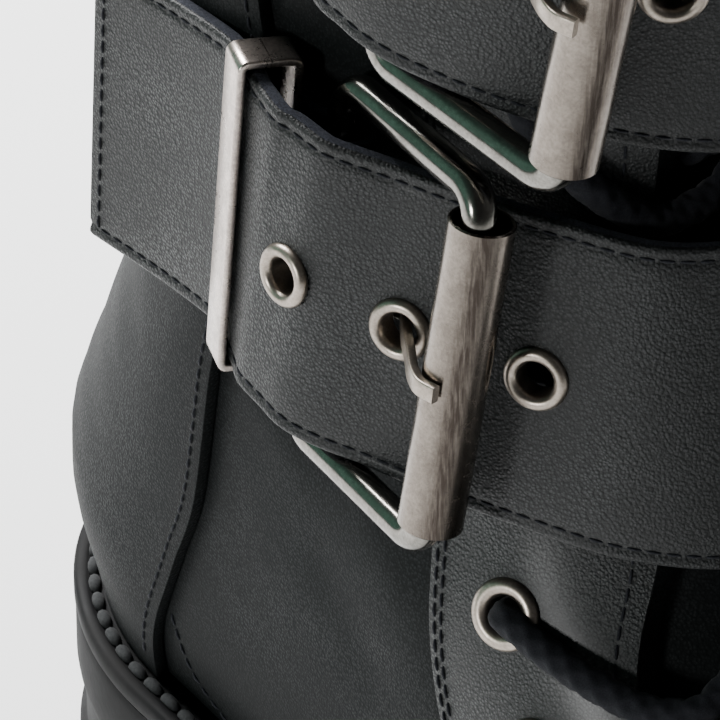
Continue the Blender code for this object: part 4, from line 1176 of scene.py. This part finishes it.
def makeUpperSeams():
    rows = []
    for side in (lateral, medial):
        for name, top in (("counter", counterTop), ("eyestay", overlayTop), ("throat", overlayTop)):
            edge = panelEdges[name][:-1] if name == "throat" else panelEdges[name]
            low, distances = seamPlaces[name]
            for away in distances:
                rows.append(seamOnSide(edge, away, side, top + stitch["rise"], low, seamPlaces["high"]))
        rows.append(seamOnSide(seamPlaces["foot"], 0.0, side, stitch["rise"]))
        rows.append(collarSeam(side))
    sewPiece("upperSeams", rows, stitch, sewingThread)


def makeStrapSeams():
    rows = []
    inset, count = strapPiece["seam"], seamPlaces["endPoints"]
    half = strapPiece["wide"] / 2 - inset
    for band in bands.values():
        step = seamPlaces["strapStep"]
        places = [band.axes(s) for s in np.arange(inset, band.length - step, step)]
        for across in (-half, half):
            rows.append((np.array([m @ Vector((0, across, -strapPiece["groove"])) for m in places]),
                         np.array([np.array(m)[:3, 2] for m in places])))
        end = band.axes(inset)
        line = [end @ Vector((0, c, seamPlaces["endRise"])) for c in np.linspace(-half, half, count)]
        rows.append((np.array(line), np.array([np.array(end)[:3, 2]] * count)))
    sewPiece("strapSeams", rows, stitch, sewingThread)


def makeWeltSeam():
    u = np.linspace(0, 2 * math.pi, seamPlaces["weltPoints"])
    height = curveAt(lastShape["lift"], 1, lastPoint(u, 0.0)[:, 0]) - seamPlaces["weltSink"]
    line = soleRing(u, seamPlaces["weltOut"], height)
    upwards = np.tile((0.0, 0.0, 1.0), (len(u), 1))
    sewPiece("weltSeam", [(line, upwards)], weltStitch, weltThread)


makeUpperSeams()
makeStrapSeams()
makeWeltSeam()
print("seams made")

# Floor, light and camera
studio = {
    "floor": (0.93, 0.93, 0.93), "floorSize": 6.0, "worldStops": (
        (0.0, (0.12, 0.12, 0.12)), (0.35, (0.045, 0.046, 0.046)), (0.62, (0.045, 0.047, 0.046)),
        (0.86, (0.08, 0.14, 0.12)), (0.95, (0.22, 0.44, 0.36))),
    "camera": {"azimuth": 49.4, "elevation": 36.1, "roll": 1.3, "distance": 526.0, "pixels": 4087.0,
               "frame": 720.0, "sensor": 36.0, "target": (80.96, -30.0, 115.9)},
    "lights": (  # to the right, up and towards the camera in metres from the target, size, watts
        ((-0.35, 1.187, -0.74), 0.5, 44.0), ((-0.72, -0.3, 0.88), 0.14, 4.6), ((0.9, 0.6, 0.1), 0.3, 0.6)),
}


def viewAxes():   # the camera's target and its directions to the right, upwards and ahead, before its roll
    a, e = (math.radians(studio["camera"][k]) for k in ("azimuth", "elevation"))
    ahead = Vector((-math.sin(a) * math.cos(e), math.cos(a) * math.cos(e), -math.sin(e)))
    right = Vector((math.cos(a), math.sin(a), 0))
    return Vector(toWorld(np.array(studio["camera"]["target"]))[0]), right, right.cross(ahead), ahead


def makeCamera():
    view = studio["camera"]
    target, right, up, ahead = viewAxes()
    r = math.radians(view["roll"])
    turnedRight = right * math.cos(r) + up * math.sin(r)
    turnedUp = up * math.cos(r) - right * math.sin(r)
    eye = target - ahead * view["distance"] * mm
    lens = bpy.data.cameras.new("camera")
    lens.sensor_width = view["sensor"]
    lens.lens = view["sensor"] * view["pixels"] / view["frame"]
    lens.clip_start = 0.01
    camera = bpy.data.objects.new("camera", lens)
    bpy.context.scene.collection.objects.link(camera)
    camera.matrix_world = Matrix([(*row, end) for row, end in zip(
        (turnedRight, turnedUp, -ahead, eye), (0, 0, 0, 1))]).transposed()
    bpy.context.scene.camera = camera


def makeLights():
    target, right, _, ahead = viewAxes()
    for number, ((sideways, upwards, nearer), size, watts) in enumerate(studio["lights"]):
        lamp = bpy.data.lights.new(f"softbox{number}", "AREA")
        lamp.energy = watts
        lamp.size = size
        lampObject = bpy.data.objects.new(f"softbox{number}", lamp)
        bpy.context.scene.collection.objects.link(lampObject)
        lampObject.location = target + right * sideways + Vector((0, 0, upwards)) - ahead * nearer
        lampObject.rotation_euler = (target - lampObject.location).to_track_quat("-Z", "Y").to_euler()


def makeFloor():
    bpy.ops.object.select_all(action="DESELECT")
    bpy.ops.mesh.primitive_plane_add(size=studio["floorSize"])
    floor = bpy.context.active_object
    floor.name = "floor"
    finish, _, shader = newFinish("floorPaper", Roughness=0.9, Specular_IOR_Level=0.1)
    shader["Base Color"].default_value = (*studio["floor"], 1)
    floor.data.materials.append(finish)


def makeWorld():   # dim surroundings that brighten to the left
    world = bpy.data.worlds.new("studioWorld")
    world.use_nodes = True
    sky = world.node_tree
    place = addNode(sky, "ShaderNodeTexCoord").outputs["Generated"]
    leftness = addNode(sky, "ShaderNodeVectorMath", {"operation": "DOT_PRODUCT"}, Vector=place)
    leftness.inputs[1].default_value = -viewAxes()[1]
    half = mathNode(sky, "MULTIPLY_ADD", leftness.outputs["Value"], 0.5, 0.5)
    feed(sky, sky.nodes["Background"].inputs["Color"], ramp(sky, half, *studio["worldStops"]))
    bpy.context.scene.world = world


makeCamera()
makeLights()
makeFloor()
makeWorld()
print("studio made")
